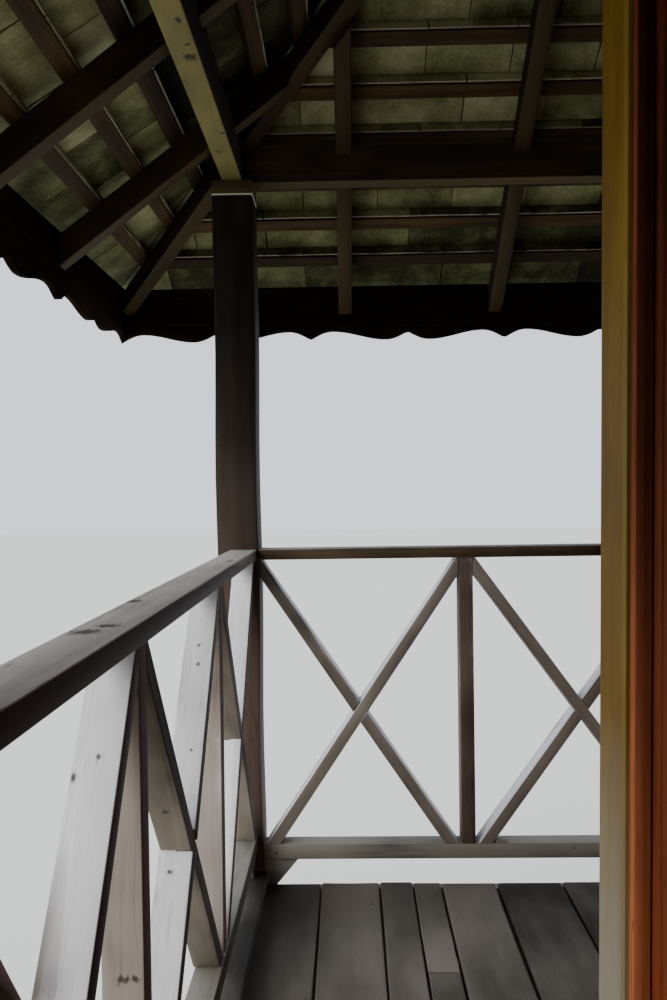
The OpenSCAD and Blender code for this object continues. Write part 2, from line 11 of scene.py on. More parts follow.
import bmesh
import bpy
import numpy as np
from mathutils import Matrix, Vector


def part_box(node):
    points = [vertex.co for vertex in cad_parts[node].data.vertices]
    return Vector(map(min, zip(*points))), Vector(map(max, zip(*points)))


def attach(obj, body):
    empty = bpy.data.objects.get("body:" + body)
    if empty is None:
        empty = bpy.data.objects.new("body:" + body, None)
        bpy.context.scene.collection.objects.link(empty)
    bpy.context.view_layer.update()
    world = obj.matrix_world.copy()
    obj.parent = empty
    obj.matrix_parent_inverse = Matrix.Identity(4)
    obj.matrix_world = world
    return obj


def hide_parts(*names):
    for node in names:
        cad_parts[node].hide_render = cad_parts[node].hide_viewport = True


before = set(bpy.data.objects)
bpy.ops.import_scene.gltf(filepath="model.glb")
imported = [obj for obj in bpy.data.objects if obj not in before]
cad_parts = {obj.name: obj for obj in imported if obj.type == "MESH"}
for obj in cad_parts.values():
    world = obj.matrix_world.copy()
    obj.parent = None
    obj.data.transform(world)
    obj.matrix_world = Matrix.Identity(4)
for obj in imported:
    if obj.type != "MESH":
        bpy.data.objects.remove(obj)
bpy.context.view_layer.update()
LOG = logging.getLogger("stilt_house")
Rows = tuple[tuple[float, ...], ...]  # a table of numbers


@dataclass(frozen=True)
class House:
    """Sizes that several pieces share, in metres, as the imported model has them."""

    half_x: float = 2.04  # post line of the sides
    half_y: float = 3.06  # post line of the ends
    kerb_x: float = 1.98  # edge of the boards that lie between the posts
    floor_top: float = 1.6
    floor_side: float = 2.07
    floor_end: float = 3.007
    seam_x: float = 1.1565
    seam_y: float = 2.1765
    wall_x: float = 1.169  # outer face of the boards
    wall_y: float = 2.189
    wall_t: float = 0.025
    wall_top: float = 4.4076
    lean: float = 0.0139  # of the left wall, inwards for each metre of height
    plumb_at: float = 2.665  # height at which the leaning wall is in its true place
    door_half: float = 0.44
    door_top: float = 3.51
    slope: float = math.radians(37.0)
    batten_top: float = 3.87395  # upper face of the battens above the post line
    batten_w: float = 0.04
    batten_t: float = 0.025
    batten_pitch: float = 0.147
    first_batten: float = 0.37955  # outwards of the post line
    tile_edge: float = 0.532
    ridge_half: float = 1.02
    sway: tuple[float, float, float] = (0.00099, 0.00099, 0.000396)  # height of each wave of the settling
    firm: float = 0.4  # height from the ground at which the settling is full


HOUSE = House()


class Domain(Enum):
    """Where a mesh attribute is kept."""

    POINT = "POINT"
    FACE = "FACE"


class Side(Enum):
    """A side of the house, as the outward direction on plan."""

    LEFT = (-1.0, 0.0)
    RIGHT = (1.0, 0.0)
    FAR = (0.0, 1.0)
    NEAR = (0.0, -1.0)


class DirtAndShade(Enum):
    """Where a railing gets dark dirt and painted shade: nowhere, on faces that look into a side gallery, or at the ends
    too.
    """

    NONE = 0
    INNER = 1
    ENDS = 2


# Helpers


def linear(code: str) -> tuple[float, float, float, float]:
    """Turns an sRGB hex colour into linear light: c / 12.92 when dark, else ((c + 0.055) / 1.055) to the power 2.4.

    Args:
        code: the colour as #rrggbb.

    Returns:
        Red, green, blue and an alpha of 1.
    """
    c = np.array([int(code[i : i + 2], 16) for i in (1, 3, 5)]) / 255.0
    light = np.where(c < 0.04045, c / 12.92, ((c + 0.055) / 1.055) ** 2.4)
    return (*light.tolist(), 1.0)


def dice(name: str) -> np.random.Generator:
    """Returns a random generator whose seed is the checksum of the name."""
    return np.random.default_rng(zlib.crc32(name.encode()))


def settle(points: np.ndarray) -> np.ndarray:
    """Moves points by the slow unevenness of an old frame: a sum of five sine waves 0.5 to 1.1 m long.

    Args:
        points: places in the house, shape (n, 3).

    Returns:
        The moved points. Touching pieces move alike, so they stay seated, and nothing moves on the ground.
    """
    roll = dice("settle")
    waves = roll.normal(size=(5, 3))
    waves *= (2 * math.pi / roll.uniform(0.5, 1.1, (5, 1))) / np.linalg.norm(waves, axis=1, keepdims=True)
    phase = roll.uniform(0, 2 * math.pi, (5, 3))
    shift = np.sin((points @ waves.T)[:, :, None] + phase).sum(axis=1) * HOUSE.sway
    return points + shift * np.clip(points[:, 2:] / HOUSE.firm, 0, 1)


def lean(points: np.ndarray, where: Any) -> np.ndarray:
    """Leans the left wall, whose foot has crept out: x moves inwards in proportion to the height above plumb_at.

    Args:
        points: places, with x, y and z last.
        where: True for what leans.

    Returns:
        The moved points.
    """
    moved = points.copy()
    moved[..., 0] += np.where(where, HOUSE.lean * (points[..., 2] - HOUSE.plumb_at), 0.0)
    return moved


def loft(rings: np.ndarray) -> tuple[np.ndarray, list[list[int]]]:
    """Joins closed profiles carried along a path into solids: quads between neighbours, and a cap at each end.

    Args:
        rings: profile points, shape (solids, stations, points, 3).

    Returns:
        The vertices and the faces, each solid's quads first and then its two caps.
    """
    count, stations, size = rings.shape[:3]
    index = np.arange(count * stations * size).reshape(count, stations, size)
    after = np.roll(index, -1, axis=2)
    quads = np.stack([index[:, :-1], after[:, :-1], after[:, 1:], index[:, 1:]], axis=-1).reshape(-1, 4)
    caps = np.concatenate([index[:, 0, ::-1], index[:, -1]], axis=0)
    return rings.reshape(-1, 3), quads.tolist() + caps.tolist()


def add_object(name: str, data: Any) -> bpy.types.Object:
    """Puts data in the scene as a new object at the origin, and returns the object."""
    made = bpy.data.objects.new(name, data)
    bpy.context.scene.collection.objects.link(made)
    return made


def put_mark(mesh: bpy.types.Mesh, name: str, values: np.ndarray, domain: Domain = Domain.POINT) -> None:
    """Writes an attribute: a vector where values has three columns, else a number.

    Args:
        mesh: the mesh that gets it.
        name: the attribute's name.
        values: one row for each point or face.
        domain: on points or on faces.
    """
    vector = values.ndim == 2
    made = mesh.attributes.new(name, "FLOAT_VECTOR" if vector else "FLOAT", domain.value)
    made.data.foreach_set("vector" if vector else "value", values.astype(np.float32).ravel())


def new_piece(
    name: str, rings: np.ndarray, marks: dict[str, Any], face_marks: dict[str, Any] | None = None, cuts: Any = ()
) -> bpy.types.Object:
    """Lofts a mesh piece at the origin, cuts it by planes where asked, and turns its faces outwards.

    Args:
        name: the piece's name.
        rings: profile points, shape (solids, stations, points, 3).
        marks: values for each point, by the attribute's name.
        face_marks: values for each face.
        cuts: planes as (point, normal); what lies on the normal's side goes, and the cut is closed.

    Returns:
        The new object.
    """
    mesh = bpy.data.meshes.new(name)
    verts, faces = loft(rings)
    mesh.from_pydata(verts, [], faces)
    for mark, values in marks.items():
        put_mark(mesh, mark, values)
    for mark, values in (face_marks or {}).items():
        put_mark(mesh, mark, values, Domain.FACE)
    bm = bmesh.new()
    bm.from_mesh(mesh)
    for point, normal in cuts:
        geom = bm.verts[:] + bm.edges[:] + bm.faces[:]
        made = bmesh.ops.bisect_plane(bm, geom=geom, dist=1e-6, plane_co=point, plane_no=normal, clear_outer=True)
        rim = [e for e in made["geom_cut"] if isinstance(e, bmesh.types.BMEdge)]
        bmesh.ops.holes_fill(bm, edges=rim, sides=0)
    bmesh.ops.recalc_face_normals(bm, faces=bm.faces[:])
    bm.to_mesh(mesh)
    bm.free()
    mesh.shade_flat()
    return add_object(name, mesh)


def board_marks(rings: np.ndarray, order: list[int], roll: np.random.Generator, tone: Any = None) -> dict[str, Any]:
    """Lays the grain of lofted boards along them, each with its own offset, and gives each a tone.

    Args:
        rings: the boards' profile points.
        order: the axes, with the length first.
        roll: draws the offsets, and the tones where none are given.
        tone: a tone from 0 to 1 for each board.

    Returns:
        The attributes "grain" and "tone" for each point.
    """
    count, every = len(rings), rings.shape[1] * rings.shape[2]
    shift = roll.uniform(0, 40, (count, 3))
    tone = roll.uniform(0, 1, count) if tone is None else tone
    grain = rings.reshape(-1, 3)[:, order] + np.repeat(shift, every, axis=0)
    return {"grain": grain, "tone": np.repeat(tone, every)}


def fit(piece: bpy.types.Object, material: bpy.types.Material, nodes: tuple[str, ...]) -> None:
    """Dresses a piece, sets it on the house and says what it stands for.

    Args:
        piece: the finished object.
        material: its finish.
        nodes: the CAD nodes that it replaces, if any.
    """
    piece.data.materials.clear()
    piece.data.materials.append(material)
    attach(piece, "root")
    if nodes:
        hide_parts(*nodes)
    LOG.info("%s: %d faces in place of %s", piece.name, len(piece.data.polygons), ", ".join(nodes) or "nothing")


def set_inputs(tree: bpy.types.NodeTree, node: bpy.types.Node, inputs: Any) -> None:
    """Links sockets to a node's inputs and sets the others to a value.

    Args:
        tree: the material's node tree.
        node: the node.
        inputs: values or sockets, in the order of the inputs or by their names or numbers.
    """
    for key, value in inputs.items() if isinstance(inputs, dict) else enumerate(inputs):
        if isinstance(value, bpy.types.NodeSocket):
            tree.links.new(value, node.inputs[key])
        else:
            node.inputs[key].default_value = value


def add_node(
    tree: bpy.types.NodeTree, kind: str, inputs: Any = (), output: int | str = 0, stops: Any = (), **settings: Any
) -> bpy.types.NodeSocket:
    """Adds a shader node with its settings, values and links.

    Args:
        tree: the material's node tree.
        kind: the node's type, without ShaderNode.
        inputs: values or sockets for set_inputs.
        output: the name or number of the output to return.
        stops: for a colour ramp, pairs of place and hex colour.
        settings: the node's own properties.

    Returns:
        The output.
    """
    node = tree.nodes.new("ShaderNode" + kind)
    for key, value in settings.items():
        setattr(node, key, value)
    set_inputs(tree, node, inputs)
    if stops:
        ramp = node.color_ramp.elements
        for _ in stops[2:]:
            ramp.new(0.5)
        for stop, (place, code) in zip(ramp, stops):
            stop.position = place
            stop.color = linear(code)
    return node.outputs[output]


def new_material(name: str) -> tuple[bpy.types.Material, bpy.types.NodeTree, bpy.types.Node]:
    """Starts a node material, and returns it with its tree and its Principled shader."""
    material = bpy.data.materials.new(name)
    material.use_nodes = True
    return material, material.node_tree, material.node_tree.nodes["Principled BSDF"]


# Finishes


@dataclass(frozen=True)
class Timber:
    """Old sawn timber with a grain along the attribute "grain" and a tone for each member.

    Unplaned wood is matt; its fibres show as faint streaks, faces that look up bleach to silver in sun and rain, and
    below a given height a low colour takes over, mostly as painted light where the light reaches in under the eaves.
    The attribute "edge" brings dirt, worn edges and painted shade.
    """

    name: str
    dark: str
    mid: str
    light: str
    top: str = "#8a8078"  # faces that look up
    top_share: float = 0.0
    under: str = "#3a2a1e"  # faces that look down
    under_share: float = 0.0
    low: str = "#5a4c46"  # below the fade
    low_share: float = 0.0
    fade: tuple[float, float] = (2.0, 3.0)  # heights in metres between which the low colour ends
    edge: str = "#2c2723"  # where the attribute "edge" is 1
    edge_share: float = 0.0
    streak_mm: float = 26.0  # width of the broad streaks
    fibre_mm: float = 5.0  # real fibres are under 1 mm: drawn as coarse as they need to show
    blotch_mm: float = 170.0
    contrast: float = 1.0
    parts: tuple[float, float, float] = (0.4, 0.22, 0.38)  # shares of streaks, fibres and blotches
    tone_share: float = 0.14
    wander: float = 1.2  # how far blotches carry the fade up and down, in metres
    knot_mm: float = 90.0  # spacing of knots
    knot: float = 0.1  # their radius as a share of the spacing
    crack_share: float = 0.4
    rough: float = 0.78
    gloss: float = 0.3
    relief_mm: float = 0.8
    knots: Rows = ()  # known knots and nails: a place and a radius in metres

    @cache
    def material(self) -> bpy.types.Material:
        """Builds the material from streaks, fibres, blotches, knots, cracks, and tints by height, direction and the
        attribute "edge": bleaching, dirt, painted light and painted shade.
        """
        material, tree, shader = new_material(self.name)
        add = partial(add_node, tree)
        grain = add("Attribute", output="Vector", attribute_name="grain")
        tone, edge = (add("Attribute", output="Fac", attribute_name=name) for name in ("tone", "edge"))
        place = add("TexCoord", output="Object")
        height = add("SeparateXYZ", [place], "Z")
        facing = add("SeparateXYZ", [add("NewGeometry", output="Normal")], "Z")
        # Noise drawn out along the grain: length, width and detail of blotches, streaks, fibres, cracks and rags
        fields = []
        for length_mm, width_mm, detail in (
            (self.blotch_mm * 1.6, self.blotch_mm, 3.0),
            (600, self.streak_mm, 3.0),
            (110, self.fibre_mm, 2.0),
            (420, 15, 1.0),
            (9, 5, 2.0),
        ):
            scale = (1000 / length_mm, 1000 / width_mm, 1000 / width_mm)
            at = add("VectorMath", (grain, scale), operation="MULTIPLY")
            fields.append(add("TexNoise", {"Vector": at, "Scale": 1.0, "Detail": detail}))
        blotch, streak, fibre, crack, rag = fields
        pattern = 0.0
        for field, part in zip((streak, fibre, blotch), self.parts):
            pattern = add("Math", (field, part, pattern), operation="MULTIPLY_ADD")
        # The ramp gets 0.5 + contrast * (pattern - 0.5 + tone_share * (tone - 0.5))
        toned = add("Math", (tone, self.tone_share, pattern), operation="MULTIPLY_ADD")
        base = 0.5 - self.contrast * (0.5 + self.tone_share / 2)
        value = add("Math", (toned, self.contrast, base), operation="MULTIPLY_ADD")
        stops = [(0.34, self.dark), (0.5, self.mid), (0.68, self.light)]
        colour = add("ValToRGB", [value], stops=stops)
        # Tints low down, by the attribute "edge", looking down and looking up, some of them painted light and painted
        # shade: its colour and share, what steers it, and the values at which it starts and is full
        shift = add("Math", (blotch, self.wander, height), operation="MULTIPLY_ADD")
        sky = add("Math", (blotch, 0.9, facing), operation="MULTIPLY_ADD")
        lift = add("Math", (value, 1.5, 0.25), operation="MULTIPLY_ADD")
        for code, share, steer, start, full in (
            (self.low, self.low_share, shift, self.fade[1] + self.wander / 2, self.fade[0] + self.wander / 2),
            (self.edge, self.edge_share, edge, 0.0, 1.0),
            (self.under, self.under_share, facing, -0.4, -0.8),
            (self.top, self.top_share, sky, 0.65, 0.95),
        ):
            if share:
                mask = add("MapRange", (steer, start, full, 0.0, share))
                tint = add("VectorMath", {0: linear(code)[:3], "Scale": lift}, operation="SCALE")
                colour = add("Mix", {0: mask, 6: colour, 7: tint}, 2, data_type="RGBA")
        split = add("Math", (crack, 0.5), operation="SUBTRACT")
        split = add("Math", [split], operation="ABSOLUTE")
        split = add("MapRange", (split, 0.01, 0.002, 0.0, self.crack_share))
        scale = (1000 / 1.8 / self.knot_mm, 1000 / self.knot_mm, 1000 / self.knot_mm)
        at = add("VectorMath", (grain, scale), operation="MULTIPLY")
        cell = add("TexVoronoi", {"Vector": at, "Scale": 1.0}, "Distance")
        spot = add("MapRange", (cell, self.knot, self.knot * 0.35, 0.0, 0.9))
        flaw = add("Math", (spot, split), operation="MAXIMUM")
        ragged = add("Math", (rag, 2.4, -0.2), operation="MULTIPLY_ADD")
        for x, y, z, radius in self.knots:
            gap = add("VectorMath", (place, (x, y, z)), "Value", operation="DISTANCE")
            gap = add("Math", (gap, ragged), operation="MULTIPLY")
            spot = add("MapRange", (gap, radius, radius * 0.4, 0.0, 0.85))
            flaw = add("Math", (flaw, spot), operation="MAXIMUM")
        colour = add("Mix", {0: flaw, 6: colour, 7: linear(self.dark)}, 2, data_type="RGBA")
        relief = add("Math", (flaw, -0.9, pattern), operation="MULTIPLY_ADD")
        bump = add("Bump", {"Height": relief, "Strength": 0.6, "Distance": self.relief_mm / 1000})
        looks = {"Base Color": colour, "Normal": bump, "Roughness": self.rough, "Specular IOR Level": self.gloss}
        set_inputs(tree, shader, looks)
        return material


@dataclass(frozen=True)
class ClayTile:
    """Unglazed moulded clay, years under trees: dry and matt, stained in patches of grey and green.

    The tip of each hook is painted paler than the stained faces: raw clay, with a painted highlight.
    """

    name: str = "weathered_clay_tile"
    under: tuple[str, ...] = ("#14150c", "#3b3c20", "#767a50", "#aeae84")
    over: tuple[str, ...] = ("#3b3731", "#47423b", "#5a534b", "#6f675d")
    stops: tuple[float, ...] = (0.3, 0.5, 0.7, 0.95)
    # paler tip of each hook: raw clay with a painted highlight
    lip: str = "#958e7a"
    patch_mm: float = 160.0
    smudge_mm: float = 60.0
    grain_mm: float = 9.0
    rough: float = 0.9
    gloss: float = 0.25
    relief_mm: float = 1.2

    @cache
    def material(self) -> bpy.types.Material:
        """Builds the material from patches, smudges, a sandy grain, and the tone and the painted shade of each tile,
        with a painted highlight on the hook tips.
        """
        material, tree, shader = new_material(self.name)
        add = partial(add_node, tree)
        place = add("TexCoord", output="Object")
        tone, lip, soot = (add("Attribute", output="Fac", attribute_name=name) for name in ("tone", "lip", "soot"))
        sand, patch, smudge = (
            add("TexNoise", {"Vector": place, "Scale": 1000 / size_mm, "Detail": detail})
            for size_mm, detail in ((self.grain_mm, 3.0), (self.patch_mm, 4.0), (self.smudge_mm, 3.0))
        )
        pattern = 0.05
        for field, part in ((sand, 0.2), (patch, 0.6), (smudge, 0.3)):
            pattern = add("Math", (field, part, pattern), operation="MULTIPLY_ADD")
        # Painted shade darkens the underside colour
        shaded_pattern = add("Math", (pattern, soot), operation="SUBTRACT")
        faces = []
        for base, spread, codes in ((shaded_pattern, 0.26, self.under), (pattern, 0.1, self.over)):
            toned = add("Math", (tone, spread, base), operation="MULTIPLY_ADD")
            faces.append(add("ValToRGB", [toned], stops=list(zip(self.stops, codes))))
        up = add("SeparateXYZ", [add("NewGeometry", output="Normal")], "Z")
        # Sheltered faces look down, or up the slope like the back of a hook, whose normal rises by 0.12 to 0.68
        down = add("MapRange", (up, -0.68, -0.74))
        rise = add("Math", [add("Math", (up, 0.4), operation="SUBTRACT")], operation="ABSOLUTE")
        inside = add("Math", (down, add("MapRange", (rise, 0.32, 0.28))), operation="MAXIMUM")
        body = add("Mix", {0: inside, 6: faces[1], 7: faces[0]}, 2, data_type="RGBA")
        # The hook tips take the pale colour where the smudge allows: raw clay with a painted highlight
        worn = add("Math", (add("MapRange", (smudge, 0.3, 0.55)), lip), operation="MULTIPLY")
        colour = add("Mix", {0: worn, 6: body, 7: linear(self.lip)}, 2, data_type="RGBA")
        bump = add("Bump", {"Height": sand, "Strength": 0.5, "Distance": self.relief_mm / 1000})
        looks = {"Base Color": colour, "Normal": bump, "Roughness": self.rough, "Specular IOR Level": self.gloss}
        set_inputs(tree, shader, looks)
        return material


CLAY = ClayTile()

# Hardwood smoked nearly black; its lower half is painted a lighter purple brown as painted light, where the light
# reaches in under the eaves
POST = Timber(
    "smoked_hardwood_post", "#100901", "#1f1404", "#35250e", top_share=0.3, low="#594b42", low_share=0.85,
    fade=(2.2, 3.2),
)
# Olive end grain with one pale saw cut along its foot
HEAD = Timber(
    "post_head_block", "#2a2210", "#443a20", "#5c5030", low="#d8d4c0", low_share=1.0, fade=(3.6555, 3.6575), wander=0.0
)
# Dark brown sawn timber, a shade more olive underneath
FRAME = Timber(
    "smoked_roof_timber", "#110a03", "#211607", "#382810", under="#3e300a", under_share=0.75, knot=0.07,
    parts=(0.3, 0.15, 0.55), contrast=1.3,
)
# The same, but bare and straw-coloured underneath, where its known knots show
PLATE = Timber(
    "bare_side_plate", "#0d0802", "#150e04", "#281c0c", under="#6e6838", under_share=0.97, blotch_mm=110,
    parts=(0.25, 0.12, 0.63), contrast=1.35, crack_share=0.1,
    knots=(
        (-2.0317, 2.3105, 3.6977, 0.017), (-2.0261, 2.2598, 3.6977, 0.006), (-2.0330, 2.2650, 3.6977, 0.004),
        (-2.0184, 2.6833, 3.6977, 0.009), (-2.0474, 2.8009, 3.6977, 0.008),
    ),
)
# Softer brown laths with fine streaks
BATTEN = Timber("sawn_batten", "#1a1004", "#37260a", "#554019", streak_mm=18)
# Hardwood bleached silver where it faces the sky; its inner faces are painted dark brown as painted shade, with dirt
RAIL = Timber(
    "bleached_rail_hardwood", "#2b241e", "#80796f", "#a19a90", top="#dfe2e9", top_share=0.98, under="#877e6d",
    under_share=0.85, edge="#2e2116", edge_share=0.92, knot_mm=95, knot=0.05, contrast=0.75,
    parts=(0.22, 0.12, 0.66), tone_share=0.25, crack_share=0.15,
    knots=(
        (-2.0237, 1.5777, 2.4390, 0.005), (-2.0230, 2.2653, 2.4515, 0.0045), (-2.0208, 2.2388, 2.4173, 0.006),
        (-2.0161, 2.1284, 2.2744, 0.004), (-2.0251, 1.9407, 2.2279, 0.006), (-2.0303, 1.9947, 2.1005, 0.006),
    ),
)
# Browner, darkened by hands, with a worn grey top and black knots
HAND = replace(
    RAIL, name="worn_hand_rail", dark="#1a120c", mid="#423526", light="#65543e", top="#9c9a98", top_share=0.9,
    edge="#251005", knot=0.16, parts=(0.35, 0.15, 0.5), contrast=1.2, crack_share=0.35,
    knots=((-2.034, 1.563, 2.5989, 0.024), (-2.02, 1.61, 2.5989, 0.018), (-2.05, 1.85, 2.5989, 0.02)),
)
# Even and grey, wetted by every rain
BOTTOM = replace(
    RAIL, name="rain_greyed_bottom_rail", mid="#87857c", light="#9c9a90", top="#80807a", top_share=0.6,
    tone_share=0.08, knots=((-1.9391, 3.0151, 1.6841, 0.005),),
)
# Warmer grey, reddish at the ends of the house
STILE = replace(
    RAIL, name="brown_rail_post", mid="#8f867d", light="#aaa39b", edge="#4a2a1e",
    knots=((-2.0288, 1.6764, 2.0983, 0.007), (-2.0205, 1.6764, 2.0983, 0.005), (-2.0094, 1.6764, 2.0997, 0.006)),
)
# The hand rail's brown without its dirt
CASING = replace(HAND, name="door_casing", knots=(), under="#4a3b2b", edge_share=0.0)
# Boards trodden grey, each of another tone, dark in the joints, darker towards the open ends, with painted shade along
# the kerbs and round the corner posts' feet
FLOOR = Timber(
    "trodden_floor_board", "#2e2b28", "#69645d", "#8b867e", edge="#2c2117", edge_share=0.9, streak_mm=60,
    blotch_mm=260, parts=(0.14, 0.06, 0.8), contrast=0.95, tone_share=0.35, knot=0.05, crack_share=0.12,
)
# Dull brown under the floor, silvered on top
UNDERFRAME = Timber("weathered_stilt_timber", "#1b1512", "#4a3d34", "#776a5e", top_share=0.5)
# Nearly black and without any shine, so that only its outline shows
FASCIA = Timber("stained_eaves_board", "#0a0602", "#181006", "#30210f", streak_mm=30, rough=1.0, gloss=0.03)
# Oiled red-brown, painted lighter and more orange low down as painted light, where the light reaches it
RED = Timber(
    "red_oiled_boarding", "#1c0a04", "#3f1b0a", "#682f16", low="#a4522e", low_share=0.85, fade=(1.5, 3.3), wander=0.5,
    gloss=0.1, streak_mm=22, relief_mm=0.4, rough=0.75, knot=0.04,
)
# Thin ochre wash, painted paler and greyer towards the floor as painted light, where the light reaches its lower part
OCHRE = Timber(
    "ochre_limewashed_board", "#4e3600", "#6e5000", "#876a08", low="#a89f88", low_share=1.0, fade=(1.8, 2.35),
    wander=0.2, edge="#8a7028", edge_share=0.5, streak_mm=60, contrast=0.6, relief_mm=0.3, knot=0.03,
)
# Oiled orange-brown, painted lighter and more orange low down as painted light; its flanks are darker, partly dark oil
# and partly painted shade
ORANGE = Timber(
    "orange_oiled_bead", "#54240e", "#72361a", "#904e2c", edge="#2a110a", edge_share=1.0, low="#cc784c", low_share=0.9,
    fade=(1.7, 2.9), wander=0.5, gloss=0.08, streak_mm=14, relief_mm=0.3, rough=0.75, knot=0.03,
)


# Timber members


@dataclass
class Members:
    """Members of the frame: the CAD pieces with a grain laid along each one, old settling and worn arrises."""

    nodes: tuple[str, ...]
    finish: Timber
    slot: str
    worn: float = 0.003
    # where the edge colour goes: painted shade with dirt on inward faces, and a darker colour at the ends
    dirt_and_shade: DirtAndShade = DirtAndShade.NONE
    station: float = 0.0  # height between the cuts that let an upright bend, or 0 for no cut
    merge: float = 2e-5  # distance below which points are one
    flat: float = 0.004  # angle in radians below which faces are one
    end_y: float = 2.95  # beyond this a piece belongs to an end's railing
    end_darkening: float = 0.6

    def build(self) -> None:
        """Builds a piece for each node and dresses them all in one material."""
        for node in self.nodes:
            piece = self.member_copy(node)
            bevel = piece.modifiers.new("worn_arris", "BEVEL")
            bevel.width = self.worn
            bevel.segments = 2
            bevel.limit_method = "ANGLE"
            bevel.angle_limit = math.radians(35)
            bevel.harden_normals = True
            fit(piece, self.finish.material(), (node,))

    def member_copy(self, node: str) -> bpy.types.Object:
        """Copies a node's merged mesh, marks its grain, cuts it into short stations and lets them settle.

        Args:
            node: the CAD node.

        Returns:
            The new object.
        """
        name = "dressed_" + node
        mesh = bpy.data.meshes.new(name)
        bm = bmesh.new()
        bm.from_mesh(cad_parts[node].data)
        bmesh.ops.remove_doubles(bm, verts=bm.verts, dist=self.merge)
        bmesh.ops.dissolve_limit(bm, angle_limit=self.flat, verts=bm.verts, edges=bm.edges)
        bm.to_mesh(mesh)
        points = np.array([v.co for v in mesh.vertices])
        grain, tone = self.lay_grain(node, points, np.array([e.vertices[:] for e in mesh.edges]))
        put_mark(mesh, "grain", grain)
        put_mark(mesh, "tone", tone)
        bm.clear()
        bm.from_mesh(mesh)
        low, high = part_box(node)
        for at in np.arange(low[2] + self.station / 2, high[2], self.station) if self.station else ():
            geom = bm.verts[:] + bm.edges[:] + bm.faces[:]
            bmesh.ops.bisect_plane(bm, geom=geom, dist=1e-5, plane_co=(0, 0, at), plane_no=(0, 0, 1))
        bm.to_mesh(mesh)
        bm.free()
        moved = settle(np.array([v.co for v in mesh.vertices]))
        mesh.vertices.foreach_set("co", moved.astype(np.float32).ravel())
        mesh.shade_smooth()
        # Faces that look into a side gallery get the edge colour as painted shade with dirt; with ENDS, pieces at the
        # ends of the house get it too, at a lower share
        if self.dirt_and_shade is not DirtAndShade.NONE:
            centre = np.array([p.center for p in mesh.polygons])
            inward = np.clip(-np.array([p.normal.x for p in mesh.polygons]) * np.sign(centre[:, 0]), 0, 1)
            ends = (np.abs(centre[:, 1]) > self.end_y) * (self.end_darkening if self.dirt_and_shade is DirtAndShade.ENDS else 0.0)
            put_mark(mesh, "edge", np.maximum(inward, ends), Domain.FACE)
        return add_object(name, mesh)

    def lay_grain(self, node: str, points: np.ndarray, edges: np.ndarray) -> tuple[np.ndarray, np.ndarray]:
        """Finds the loose members and lays each one's grain along its longest edge.

        Labels spread along the edges until every point of a member has the lowest number in it.

        Args:
            node: the CAD node, which seeds the members' offsets.
            points: the vertices, shape (n, 3).
            edges: pairs of vertex numbers.

        Returns:
            Grain coordinates for each point, in metres with the length first, and a tone from 0 to 1.
        """
        fresh, label = np.arange(len(points)), None
        while not np.array_equal(fresh, label):
            label = fresh
            low = np.minimum(label[edges[:, 0]], label[edges[:, 1]])
            fresh = label.copy()
            np.minimum.at(fresh, edges[:, 0], low)
            np.minimum.at(fresh, edges[:, 1], low)
            fresh = fresh[fresh]
        label = np.unique(label, return_inverse=True)[1].ravel()
        count = label.max() + 1
        run = points[edges[:, 1]] - points[edges[:, 0]]
        order = np.argsort(np.linalg.norm(run, axis=1))
        along = np.zeros((count, 3))
        along[label[edges[order, 0]]] = run[order]
        along /= np.linalg.norm(along, axis=1, keepdims=True)
        upright = np.abs(along[:, 2:3]) > 0.95
        across = np.cross(along, np.where(upright, [[1.0, 0.0, 0.0]], [[0.0, 0.0, 1.0]]))
        across /= np.linalg.norm(across, axis=1, keepdims=True)
        roll = dice(node)
        offset = roll.uniform(0, 40, (count, 3))
        tone = roll.uniform(0, 1, count)
        axes = np.stack([along, across, np.cross(along, across)], axis=1)[label]
        return np.einsum("nij,nj->ni", axes, points) + offset[label], tone[label]


# Floor


@dataclass(frozen=True)
class Board:
    """One floor board: its edges, its ends, its tone from 0 to 1, and how much wider the joint on its right is."""

    x0: float
    x1: float
    y0: float
    y1: float
    tone: float | None = None
    gape: float = 0.0


